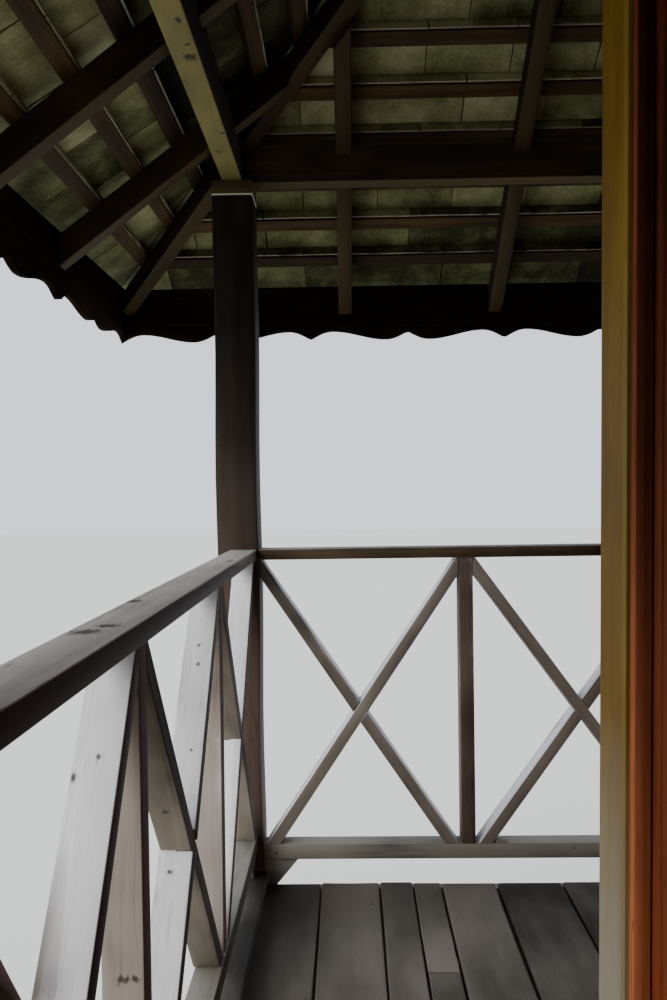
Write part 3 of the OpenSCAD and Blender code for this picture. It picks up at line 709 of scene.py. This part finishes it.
@dataclass
class BoardFloor:
    """Rebated floor boards along the house, with open joints, eased edges and uneven ends."""

    joint: float = 0.003
    clear: float = 0.001  # kept free along the outer edges and before each butt joint
    ends: float = 0.012  # unevenness of the open ends
    cup: float = 0.0012
    sink: float = 0.0012  # most that a board lies too low
    lap: float = 0.016  # of the rebates
    stations: int = 24
    # Boards seen in the corner of the gallery, from the outer edge inwards: right edge, tone and wider joint
    seen: Rows = (
        (-HOUSE.kerb_x, 0.5, 0.0), (-1.803, 0.5, 0.0), (-1.629, 0.78, 0.0), (-1.531, 0.55, 0.0),
        (-1.447, 0.5, 0.001), (-1.281, 0.85, 0.005), (-1.088, 0.12, 0.002),
    )
    pieced: int = 3  # which of them was pieced out near the corner
    piece_y: tuple[float, float] = (2.54, 2.545)
    piece_tone: float = 0.8
    butt_y: tuple[float, float] = (-0.624, -0.62)  # where the left gallery's boards meet
    right_butt_y: tuple[float, float] = (0.7, 0.704)
    post_y: Rows = ((-3.0, -1.08), (-0.96, 0.96), (1.08, 3.0))  # clear between posts
    widths: tuple[float, ...] = (0.168, 0.187, 0.151, 0.195, 0.174)
    widest: float = 0.26
    waves: Rows = ((0.0011, 3.1), (0.0008, 9.0))  # of the edges: height, turn per metre
    # Share and reach of the darkening at the open ends, and of the painted shade along the kerbs and round the feet of
    # the corner posts
    dirt_and_shade: Rows = ((0.55, 0.4), (0.8, 0.06), (0.7, 0.26))
    foot_in: float = 0.05  # of those posts, from the ends
    joint_deep: float = 0.003  # depth from which a joint is black

    def row(self, start: float, stop: float, y0: float, y1: float) -> list[Board]:
        """Boards side by side from start to stop, with the widths taken in turn.

        Args:
            start: the first edge.
            stop: the last edge.
            y0: the near end.
            y1: the far end.

        Returns:
            The boards in order.
        """
        places = [start]
        while stop - places[-1] > self.widest:
            places.append(places[-1] + self.widths[len(places) % len(self.widths)])
        return [Board(a, b, y0, y1) for a, b in zip(places, [*places[1:], stop])]

    def boards(self, plans: list[Board], name: str) -> bpy.types.Object:
        """Carries each board's profile along it.

        The width wanders with two sines of the place along the board, and the top cups as a parabola across it. The
        lower half of a board reaches under the next one.

        Args:
            plans: the boards.
            name: the piece's name.

        Returns:
            The piece.
        """
        roll = dice(name)
        count = len(plans)
        x0, x1, gape = np.array([[b.x0, b.x1, b.gape] for b in plans]).T[..., None]
        ends = np.array([[b.y0, b.y1] for b in plans])
        free = np.abs(ends) >= HOUSE.floor_end
        ends = ends - np.sign(ends) * np.where(free, roll.uniform(0, self.ends, (count, 2)), self.clear)
        tone = np.array([roll.uniform(0.2, 0.8) if b.tone is None else b.tone for b in plans])
        y = ends[:, :1] + (ends[:, 1:] - ends[:, :1]) * np.linspace(0, 1, self.stations)
        phase = roll.uniform(0, 6, (2, count, 1))
        wander = np.abs(sum(high * np.sin(y * turn + start) for (high, turn), start in zip(self.waves, phase)))
        left = x0 + self.joint / 2 + wander
        right = x1 - self.joint / 2 - np.roll(wander, 1, axis=0) - gape * (0.6 + 0.4 * np.sin(y * 5))
        # Profile across: share of the width from the left edge, rebate, and depth below the top
        share = np.array([0, 0.012, 0.04, 0.3, 0.5, 0.7, 0.96, 0.988, 1, 1, 1, 1, 0, 0, 0.0])
        rebate = np.array([0, 0, 0, 0, 0, 0, 0, 0, 0, 0, 1, 1, 1.3, 1.3, 0]) * self.lap
        depth = np.array([4, 1.2, 0, 0, 0, 0, 0, 1.2, 4, 16, 16, 30, 30, 15, 15]) / 1000
        x = left[..., None] + (right - left)[..., None] * share + rebate
        edge = HOUSE.floor_side - self.clear
        x = np.minimum(x, np.where(x1 >= edge, edge, np.inf)[..., None])
        crown = self.cup * roll.uniform(-1, 1, (count, 1, 1)) * (1 - (2 * share - 1) ** 2)
        level = roll.uniform(-self.sink, 0.0, (count, 1, 1))
        z = HOUSE.floor_top - depth + (np.minimum(crown, 0) + level) * (depth < 0.01)
        rings = np.stack(np.broadcast_arrays(x, y[..., None], z), axis=-1)
        marks = board_marks(rings, [1, 0, 2], roll, tone)
        # Dirt fills the joints; the darkening at the open ends and the painted shade along the kerbs and round the
        # posts' feet fade as bell curves
        end = HOUSE.floor_end - np.abs(rings[..., 1])
        side = HOUSE.kerb_x - np.abs(rings[..., 0])
        dirt_and_shade = depth > self.joint_deep
        for away, (most, reach) in zip((end, side, np.hypot(side, end - self.foot_in)), self.dirt_and_shade):
            dirt_and_shade = dirt_and_shade + most * np.exp(-((away / reach) ** 2))
        marks["edge"] = np.clip(dirt_and_shade, 0, 1).ravel()
        return new_piece(name, rings, marks)

    def build(self) -> None:
        """Lays the gallery and the room."""
        h = HOUSE
        plans = []
        for y0, y1 in self.post_y:
            plans.append(Board(-h.floor_side, -h.kerb_x, y0, y1, 0.5))
            plans.append(Board(h.kerb_x, h.floor_side, y0, y1, 0.5))
        for number, (x1, tone, gape) in enumerate(self.seen[1:-1]):
            x0, stop = self.seen[number][0], h.floor_end
            plans.append(Board(x0, x1, -h.floor_end, self.butt_y[0]))
            if number == self.pieced:
                plans.append(Board(x0, x1, self.piece_y[1], stop, self.piece_tone, gape))
                stop = self.piece_y[0]
            plans.append(Board(x0, x1, self.butt_y[1], stop, tone, gape))
        last, wall = self.seen[-2][0], self.seen[-1]
        plans.append(Board(last, -h.seam_x, -h.seam_y, h.seam_y, wall[1]))
        for y0, y1 in ((-h.floor_end, self.right_butt_y[0]), (self.right_butt_y[1], h.floor_end)):
            plans += self.row(h.seam_x, h.kerb_x, y0, y1)
        for y0, y1 in ((h.seam_y, h.floor_end), (-h.floor_end, -h.seam_y)):
            plans.append(Board(last, wall[0], y0, y1, wall[1], wall[2]))
            plans += self.row(wall[0], h.seam_x, y0, y1)
        gallery = self.boards(plans, "gallery_floor_boards")
        fit(gallery, FLOOR.material(), ("side_gallery_floors", "end_gallery_floors"))
        room = self.boards(self.row(-h.seam_x, h.seam_x, -h.seam_y, h.seam_y), "room_floor_boards")
        fit(room, FLOOR.material(), ("room_floor",))


@dataclass
class PackingChip:
    """A split chip that packs the foot of a brace on the far bottom rail, tapered to its free end."""

    start: float = -1.280
    length: float = 0.04
    front: float = 3.019
    width: float = 0.016
    base: float = 1.7088
    thick: float = 0.012
    tone: float = 0.4

    def build(self) -> None:
        """Carries a flat profile with rounded corners along the chip, thinner and narrower towards its end."""
        t = np.linspace(0, 1, 7)[:, None]
        turn = np.linspace(0, 2 * math.pi, 12, endpoint=False) + math.pi / 12
        slim = np.sqrt(np.clip(1 - t**4, 0.05, 1))
        # A rounded rectangle: |cos| and |sin| to the power 0.4, with their signs
        across, upward = (np.sign(f(turn)) * np.abs(f(turn)) ** 0.4 for f in (np.cos, np.sin))
        x = self.start + self.length * t
        y = self.front + self.width / 2 * (1 + across * slim)
        z = self.base + self.thick / 2 * (1 + upward) * slim * (1 - 0.25 * t)
        rings = np.stack(np.broadcast_arrays(x, y, z), axis=-1)[None]
        marks = {"grain": rings.reshape(-1, 3), "tone": np.full(z.size, self.tone)}
        fit(new_piece("packing_chip", rings, marks), BOTTOM.material(), ())


# Roof


@dataclass
class TiledSlope:
    """Flat clay tiles in a double lap: each course hooks on a batten and covers two courses below it.

    Painted shade darkens the undersides unevenly: by the height of the course, and by the distance from the hip, under
    the ends only out over the gallery. Pairs of distances and shade values say how; below 0 a course is painted paler.
    """

    side: Side
    pitch: float = 0.2433  # a 240 mm tile and its joint
    length: float = 0.376
    thick: float = 0.011
    hook: float = 0.014  # thickness of the hook at the head
    hook_drop: float = 0.022
    tip: float = 0.005
    gap: float = 0.003
    crown: float = 0.0012
    slack: float = 0.0002  # between a tile and the one that it lies on
    foot_high: float = 0.041  # of the lowest feet's upper edges above the battens
    columns: int = 18  # on each side of the middle, more than any course needs
    hip_gap: float = 0.002  # from a hip's line to the cut tiles
    ridge_gap: float = 0.004
    uneven: float = 0.0012  # of the joints
    swing: float = 0.004  # typical turn of a tile in its plane
    rock: float = 0.003  # typical turn about its length
    # Joints of each course under the far slope, as a distance from the middle of the house
    phases: tuple[float, ...] = (0.149, 0.031, 0.140, 0.016, 0.135, 0.011, 0.141)
    other_phase: float = 0.05  # added under the other slopes
    # Painted shade on the tiles' undersides, as pairs of distances and shade values
    end_shade: Rows = (
        (-0.56, -0.5, -0.33, -0.18, 0.1, 0.24, 0.38),
        (0.5, -0.01, 0.05, -0.07, -0.02, -0.25, 0.13),
    )
    end_hip_shade: Rows = ((0.45, 0.75, 1.2), (0.09, 0.16, 0.25))
    side_shade: Rows = ((-0.53, -0.35, -0.1, 0.0), (0.2, 0.0, -0.03, 0.36))
    side_hip_shade: Rows = ((0.4, 0.6, 1.0), (0.0, 0.13, -0.1))

    def build(self) -> None:
        """Lays the slope and dresses it.

        On the slope, s runs along the eaves, u up the slope from above the post line and n out of the battens' upper
        faces. A tile's underside rises from its hook to its foot by the thickness of one tile for each course.
        """
        h = HOUSE
        node = self.side.name.lower() + "_roof"
        cos, sin = math.cos(h.slope), math.sin(h.slope)
        out = np.array([*self.side.value, 0.0])
        ends = self.side in (Side.FAR, Side.NEAR)
        half_run, reach = (h.half_x, h.half_y) if ends else (h.half_y, h.half_x)
        along = np.array([-out[1], out[0], 0.0])
        up = np.array([-out[0] * cos, -out[1] * cos, sin])
        normal = np.array([out[0] * sin, out[1] * sin, cos])
        origin = out * reach + np.array([0.0, 0.0, h.batten_top])
        first = h.batten_w - h.first_batten / cos - h.batten_t * math.tan(h.slope)
        rows = np.arange(int((h.half_x / cos - first) / h.batten_pitch) + 3)
        hooks = first + rows * h.batten_pitch
        last = len(self.phases) - 1
        phase = np.array(self.phases)[np.where(rows < last, rows, last - (last - rows) % 2)]
        middle = phase[:, None] + (np.arange(-self.columns, self.columns) + 0.5) * self.pitch
        if self.side is not Side.FAR:
            middle = middle + self.other_phase
        row = np.broadcast_to(rows[:, None], middle.shape)
        feet = hooks + self.hook - self.length
        widest = half_run + np.minimum(-feet * cos, h.tile_edge) + self.pitch / 2
        keep = np.abs(middle) < widest[:, None]
        middle, row = middle[keep], row[keep]
        count = len(middle)
        roll = dice(node)
        hook = hooks[row]
        lowest = -(h.tile_edge - self.foot_high * sin) / cos
        foot = np.maximum(feet[row] + roll.uniform(-0.004, 0.003, count), lowest + roll.uniform(0, 0.003, count))
        t = self.thick
        rise = (t + self.slack) / h.batten_pitch
        # Side profile: foot, underside, hook and its tip, head, upper face, and the worn edge of the foot
        steps = [0.002, 0.003, 0.003 + self.tip, self.hook, self.hook]
        u = np.stack([foot, *(hook + step for step in steps), foot + 0.004, foot], axis=1)
        drop = np.array([0, 0, -self.hook_drop, -self.hook_drop, 0, t, t, t - 0.003])
        n = rise * (hook[:, None] - u) + drop + roll.uniform(0, 0.001, (count, 1))
        across = np.array([-1.0, 0.0, 1.0])
        s = middle[:, None] + across * (self.pitch - self.gap) / 2
        s += roll.uniform(-self.uneven, self.uneven, (count, 1))
        swing = roll.normal(0, self.swing, (count, 1, 1))
        rock = roll.normal(0, self.rock, (count, 1, 1))
        across = across[:, None]
        n = n[:, None, :] + self.crown * (1 - across**2) + rock * across * self.pitch / 2
        s = s[..., None] + swing * (hook[:, None, None] - u[:, None, :])
        rings = origin + s[..., None] * along + u[:, None, :, None] * up + n[..., None] * normal
        # The tips of the hooks are marked for the pale colour: raw clay with a painted highlight
        tips = np.concatenate([np.tile(np.arange(8) == 2, count * 2), np.zeros(count * 2)])
        # Painted shade for each tile, from its course's height and its distance from the hip
        from_hip = half_run - hook * cos - np.abs(middle)
        if ends:
            soot = np.interp(hook, *self.end_shade) + (hook < 0) * np.interp(from_hip, *self.end_hip_shade)
        else:
            soot = np.interp(hook, *self.side_shade) + np.interp(from_hip, *self.side_hip_shade)
        every = rings.shape[1] * rings.shape[2]
        marks = {"tone": np.repeat(roll.uniform(0, 1, count), every), "soot": np.repeat(soot, every)}
        cuts = []
        for sign in (-1.0, 1.0):
            corner = origin + sign * half_run * along
            away = sign * along - out
            cuts.append((corner - self.hip_gap * away, away / np.linalg.norm(away)))
        if not ends:
            cuts.append(((out[0] * self.ridge_gap, 0.0, 0.0), (-out[0], 0.0, 0.0)))
        piece = new_piece(node + "_tiles", rings, marks, {"lip": tips}, cuts)
        fit(piece, CLAY.material(), (node,))


@dataclass
class CapTiles:
    """Angle tiles over the hips and the ridge, each one's foot over the next one's head."""

    reach: float = 0.11
    thick: float = 0.013
    length: float = 0.3
    lap: float = 0.04
    crest: float = 0.004  # rounding of the angle
    bed: float = 0.0236  # height above the battens, square to the slope
    foot_out: float = 0.06  # how far a hip's caps run past the eaves, where they are cut
    head_in: float = 0.05

    def run(self, start: np.ndarray, stop: np.ndarray, wings: np.ndarray, name: str) -> np.ndarray:
        """Carries the cap's angle section along a line, one tile after another.

        A point of the section lies |q| times the reach out along a wing, raised by a bell curve of q at the crest.

        Args:
            start: the lower end of the line on which the caps' undersides meet.
            stop: the upper end.
            wings: the two directions down the slopes, at right angles to the line.
            name: seeds the unevenness.

        Returns:
            Rings of profile points for each cap.
        """
        line = stop - start
        full = np.linalg.norm(line)
        line = line / full
        count = max(1, round((full - self.lap) / (self.length - self.lap)))
        step = (full - self.lap) / count
        q = np.linspace(-1, 1, 9)
        lift = -(wings[0] + wings[1])
        lift /= np.linalg.norm(lift)
        side = np.where(q[:, None] < 0, wings[0], wings[1]) * np.abs(q)[:, None] * self.reach
        side += lift * (self.crest * np.exp(-((q / 0.25) ** 2)))[:, None]
        section = np.concatenate([side, (side + lift * self.thick)[::-1]])
        t = np.array([0.0, 0.05, 0.5, 1.0])
        base = (np.arange(count)[:, None] * step + t * (step + self.lap))[..., None]
        spin = dice(name).normal(0, 0.0006, (count, 1, 1))
        tilt = ((self.thick + 0.001) * (1 - t)[None, :, None] + spin) * lift
        return start + (base * line)[:, :, None, :] + section + tilt[:, :, None, :]

    def build(self) -> None:
        """Lays the caps of the four hips and of the ridge."""
        h = HOUSE
        cos, sin, tan = math.cos(h.slope), math.sin(h.slope), math.tan(h.slope)
        height = h.batten_top + self.bed / cos
        edge = np.array([h.half_x + h.tile_edge, h.half_y + h.tile_edge])
        hips = []
        for x in (-1.0, 1.0):
            for y in (-1.0, 1.0):
                foot = np.array([x * edge[0], y * edge[1], height - h.tile_edge * tan])
                apex = np.array([0.0, y * h.ridge_half, height + h.half_x * tan])
                line = (apex - foot) / np.linalg.norm(apex - foot)
                wings = np.cross(np.array([[x * sin, 0.0, cos], [0.0, y * sin, cos]]), line)
                wings *= np.where(wings[:, 2:] > 0, -1.0, 1.0)
                ends = foot - self.foot_out * line, apex - self.head_in * line
                hips.append(self.run(*ends, wings, f"hip{x}{y}"))
        sides = [np.array([*side.value, 0.0]) for side in (Side.RIGHT, Side.LEFT, Side.FAR, Side.NEAR)]
        eaves = [(out * [*(edge - 0.001), 0.0], out) for out in sides]
        wings = np.array([[-cos, 0.0, -sin], [cos, 0.0, -sin]])
        ends = [np.array([0.0, y * h.ridge_half, height + h.half_x * tan]) for y in (-1.0, 1.0)]
        ridge = self.run(ends[0], ends[1], wings, "ridge")
        for kind, rings, cuts in (("hip", np.concatenate(hips), eaves), ("ridge", ridge, ())):
            name = kind + "_cap_tiles"
            tone = np.repeat(dice(name).uniform(0, 1, len(rings)), rings.shape[1] * rings.shape[2])
            node = "hip_caps" if cuts else "ridge_cap"
            fit(new_piece(name, rings, {"tone": tone}, cuts=cuts), CLAY.material(), (node,))


# Walls


@dataclass
class BoardedWalls:
    """Upright boards whose joints are covered by a narrow raised bead."""

    pitch: float = 0.15
    bead: float = 0.014
    proud: float = 0.005
    first: float = 1.991  # middle of a bead that the photograph shows
    groove: float = 0.005
    groove_deep: float = 0.004
    joint: float = 0.001
    uneven: float = 0.0006
    least: float = 0.15  # width of the narrowest cut board, as a share of the pitch

    def wall(self, name: str, side: Side, spans: list[tuple[float, float]], low: float, high: float) -> np.ndarray:
        """Carries each board's section upwards.

        Across a board the face is flat, then drops into a groove and rises in a half sine over the bead.

        Args:
            name: seeds the unevenness.
            side: the wall's side.
            spans: the boards' edges along the wall.
            low: height of the foot.
            high: height of the top.

        Returns:
            Rings of profile points for each board.
        """
        h = HOUSE
        out = np.array([*side.value, 0.0])
        reach = h.wall_y if side in (Side.FAR, Side.NEAR) else h.wall_x
        along = np.abs(np.array([out[1], out[0], 0.0]))
        span = np.array(spans)
        count = len(span)
        wide = span[:, 1:] - span[:, :1] - self.joint
        theta = np.linspace(0, math.pi, 6)
        # Bead, groove and board face, up to the board's far edge, and the back
        groove = self.bead + self.groove
        s_bead = self.bead * (1 - np.cos(theta)) / 2
        s = np.concatenate([[0.0], s_bead, [self.bead + 0.0005, groove, groove + 0.002, np.inf, np.inf]])
        s = np.concatenate([np.minimum(s, wide), np.zeros((count, 1))], axis=1) + span[:, :1]
        face = -self.proud
        n_bead = face + self.proud * np.sin(theta)
        deep = face - self.groove_deep
        n = np.concatenate([[face - 0.003], n_bead, [deep, deep, face, face, -h.wall_t, -h.wall_t]])
        uneven = dice(name).uniform(-self.uneven, self.uneven, (count, 11))
        n = n + np.concatenate([uneven, np.zeros((count, 2))], axis=1)
        ring = out * reach + s[..., None] * along + n[..., None] * out
        z = np.linspace(low, high, 5)
        return lean(ring[:, None] + np.array([0.0, 0.0, 1.0]) * z[None, :, None, None], side is Side.LEFT)

    def spans(self, start: float, stop: float) -> list[tuple[float, float]]:
        """Board edges from start to stop, on the pitch of the bead that is seen.

        Args:
            start: the lower end.
            stop: the upper end.

        Returns:
            Pairs of edges.
        """
        phase = self.first - self.bead / 2
        k0 = math.ceil((start - phase) / self.pitch + self.least)
        k1 = math.floor((stop - phase) / self.pitch - self.least)
        places = [start, *(phase + self.pitch * k for k in range(k0, k1 + 1)), stop]
        return list(zip(places, places[1:]))

    def build(self) -> None:
        """Boards up the room."""
        h = HOUSE
        low, high = h.floor_top, h.wall_top
        x_in = h.wall_x - h.wall_t
        plans = {
            "left_wall": [(Side.LEFT, -h.wall_y, h.wall_y, low)],
            "end_walls": [(Side.FAR, -x_in, x_in, low), (Side.NEAR, -x_in, x_in, low)],
            "right_wall_far": [(Side.RIGHT, h.door_half, h.wall_y, low)],
            "right_wall_near": [(Side.RIGHT, -h.wall_y, -h.door_half, low)],
            "right_wall_head": [(Side.RIGHT, -h.door_half, h.door_half, h.door_top)],
        }
        for node, walls in plans.items():
            rings = np.concatenate([self.wall(node, side, self.spans(a, b), z0, high) for side, a, b, z0 in walls])
            marks = board_marks(rings, [2, 0, 1], dice(node + "tone"))
            fit(new_piece(node + "_boards", rings, marks), RED.material(), (node,))


@dataclass
class CornerTrim:
    """Angle boards on the room's corners, and the round-topped bead beside each of their edges."""

    width: float = 0.151
    thick: float = 0.031
    gap: float = 0.004
    bead: float = 0.041
    high: float = 0.03
    crown: float = 0.016
    top: float = 4.3843
    stations: int = 12
    # Heights, and the share of the darker flank colour on the beads there, painted shade that is full under the eaves
    flank_shade: Rows = ((1.6, 2.0, 2.77, 3.6), (0.35, 0.4, 0.7, 1.0))

    def sections(self, x: float, y: float) -> tuple[np.ndarray, np.ndarray, np.ndarray, np.ndarray]:
        """Plans of the angle board and the beads of one corner.

        A bead's top is the upper part of a circle through both shoulders: n = c + sqrt(r * r - s * s), where
        r = (w * w / 4 + crown * crown) / (2 * crown) and c = high - r.

        Args:
            x: which side the corner is on, 1 or -1.
            y: which end.

        Returns:
            The board's points and how far each is the worn edge, then the same for the two beads.
        """
        h = HOUSE
        w, t = self.width, self.thick
        # One leg from the outer arris to the inner angle, its worn edge marked, and then its mirror image
        a = np.array([0.0, 0.02, w - 0.024, w - 0.016, w, w, t])
        b = np.array([0.0, 0.0, 0.0, 0.0, 0.001, t, t])
        worn = np.array([0, 0, 0, 1, 1, 0, 0.0])
        plan = np.concatenate([np.stack([a, b], 1), np.stack([b[1:-1], a[1:-1]], 1)[::-1]])
        worn = np.concatenate([worn, worn[1:-1][::-1]])
        corner = np.array([h.wall_x + t, h.wall_y + t])
        board = (corner - plan) * [x, y]
        q = np.linspace(-1, 1, 25)
        r = (self.bead**2 / 4 + self.crown**2) / (2 * self.crown)
        n = np.concatenate([[0.0], self.high - r + np.sqrt(r * r - (q * self.bead / 2) ** 2), [0.0]])
        q = np.concatenate([[-1.0], q, [1.0]])
        s = corner[:, None] - w - self.gap - self.bead / 2 + q * self.bead / 2
        beads = np.stack([np.stack([h.wall_x + n, s[1]], 1), np.stack([s[0], h.wall_y + n], 1)]) * [x, y]
        # A strip 0.4 half widths wide runs up the bead beside its middle, on the side that faces the light, and keeps
        # the bright oil; the rest takes the darker flank colour, partly painted shade
        shaded_flank = np.clip((np.abs(q + 0.36) - 0.2) / 0.1, 0, 1)
        return board, worn, beads, np.stack([shaded_flank, shaded_flank])

    def build(self) -> None:
        """Carries each plan up the walls."""
        z = np.linspace(HOUSE.floor_top, self.top, self.stations)
        corners = [self.sections(x, y) for x in (-1.0, 1.0) for y in (-1.0, 1.0)]
        boards, worn = (np.stack([c[i] for c in corners]) for i in (0, 1))
        beads, shaded_flank = (np.concatenate([c[i] for c in corners]) for i in (2, 3))
        for name, plans, edge, share, finish, slot in (
            ("corner_boards", boards, worn, np.ones(len(z)), OCHRE, "ochre_boards"),
            ("corner_beads", beads, shaded_flank, np.interp(z, *self.flank_shade), ORANGE, "orange_bead"),
        ):
            rings = np.empty((len(plans), len(z), plans.shape[1], 3))
            rings[..., :2] = plans[:, None]
            rings[..., 2] = z[None, :, None]
            rings = lean(rings, rings[..., 0] < 0)
            marks = board_marks(rings, [2, 0, 1], dice(name))
            marks["edge"] = (edge[:, None] * share[:, None]).ravel()
            fit(new_piece(name + "_dressed", rings, marks), finish.material(), (name,))


# Surroundings


@dataclass
class Studio:
    """Pale floor, pale sky, a soft low sun outside the gallery, and the camera of the photograph."""

    eye: tuple[float, float, float] = (-1.7054, 0.5518, 2.7683)
    yaw: float = -1.0855
    pitch: float = -0.5831
    roll: float = -0.7644
    lens: float = 29.67
    sensor: float = 36.0
    clip: tuple[float, float] = (0.02, 400.0)
    floor_size: float = 60.0
    sun: float = 2.6
    sun_size: float = 35.0
    sun_turn: tuple[float, float, float] = (56.0, 0.0, -42.0)
    sun_colour: str = "#fff6ea"
    sky: float = 1.5
    sky_colour: str = "#e6edf6"

    def camera(self) -> None:
        """Sets the camera from yaw, pitch and roll: forward from yaw and pitch, then both other axes turned by roll."""
        yaw, pitch, roll = (math.radians(a) for a in (self.yaw, self.pitch, self.roll))
        forward = np.array([math.sin(yaw) * math.cos(pitch), math.cos(yaw) * math.cos(pitch), math.sin(pitch)])
        right = np.array([math.cos(yaw), -math.sin(yaw), 0.0])
        up = np.cross(right, forward)
        turned = math.cos(roll) * right + math.sin(roll) * up
        top = -math.sin(roll) * right + math.cos(roll) * up
        matrix = np.eye(4)
        matrix[:3] = np.column_stack([turned, top, -forward, self.eye])
        data = bpy.data.cameras.new("camera")
        data.lens = self.lens
        data.sensor_width = self.sensor
        data.clip_start, data.clip_end = self.clip
        camera = add_object("camera", data)
        camera.matrix_world = Matrix(matrix)
        bpy.context.scene.camera = camera

    def build(self) -> None:
        """Sets the floor, the light and the camera."""
        half = self.floor_size
        mesh = bpy.data.meshes.new("studio_floor")
        mesh.from_pydata([(-half, -half, 0), (half, -half, 0), (half, half, 0), (-half, half, 0)], [], [(0, 1, 2, 3)])
        material, tree, shader = new_material("pale_plaster")
        cloud = add_node(tree, "TexNoise", {"Vector": add_node(tree, "TexCoord", output="Object"), "Scale": 0.4})
        colour = add_node(tree, "ValToRGB", [cloud], stops=[(0.0, "#d6d5d2"), (1.0, "#dddcd9")])
        set_inputs(tree, shader, {"Base Color": colour, "Roughness": 0.9})
        mesh.materials.append(material)
        add_object("studio_floor", mesh)
        world = bpy.data.worlds.new("pale_sky")
        world.use_nodes = True
        back = world.node_tree.nodes["Background"]
        set_inputs(world.node_tree, back, {"Color": linear(self.sky_colour), "Strength": self.sky})
        bpy.context.scene.world = world
        light = bpy.data.lights.new("soft_sun", "SUN")
        light.energy = self.sun
        light.angle = math.radians(self.sun_size)
        light.color = linear(self.sun_colour)[:3]
        add_object("soft_sun", light).rotation_euler = [math.radians(turn) for turn in self.sun_turn]
        self.camera()


def main() -> None:
    """Builds the house's pieces in order and reports each one."""
    logging.basicConfig(level=logging.INFO, format="%(message)s")
    room_frame = ("room_side_plates", "room_end_plates", "tie_beams", "king_posts", "ridge_beam")
    rafters = ("hip_rafters", "side_rafters", "end_rafters")
    for part in (
        Members(("corner_posts", "middle_posts"), POST, "post_timber", 0.004, station=0.12),
        Members(("room_posts",), POST, "post_timber"),
        Members(("post_head_blocks",), HEAD, "post_timber"),
        Members(("bearers", "room_bearers", "joists"), UNDERFRAME, "frame_timber"),
        Members(("side_plates",), PLATE, "frame_timber"),
        Members(("end_plates", *room_frame, *rafters), FRAME, "frame_timber"),
        Members(("battens",), BATTEN, "frame_timber", 0.0015),
        Members(("hand_rails",), HAND, "rail_timber", 0.0025, DirtAndShade.INNER),
        Members(("bottom_rails", "rail_wedges"), BOTTOM, "rail_timber", 0.0025, DirtAndShade.INNER),
        Members(("rail_posts",), STILE, "rail_timber", 0.0025, DirtAndShade.ENDS),
        Members(("rising_braces", "falling_braces"), RAIL, "rail_timber", 0.0025, DirtAndShade.INNER),
        Members(("kerbs",), FLOOR, "floor_boards"),
        Members(("side_fascias", "end_fascias"), FASCIA, "fascia_boards", 0.0015),
        PackingChip(),
        Members(("door_jambs", "door_head"), CASING, "door_timber"),
        BoardFloor(),
        BoardedWalls(),
        CornerTrim(),
        *(TiledSlope(side) for side in Side),
        CapTiles(),
        Studio(),
    ):
        part.build()


if __name__ == "__main__":
    main()
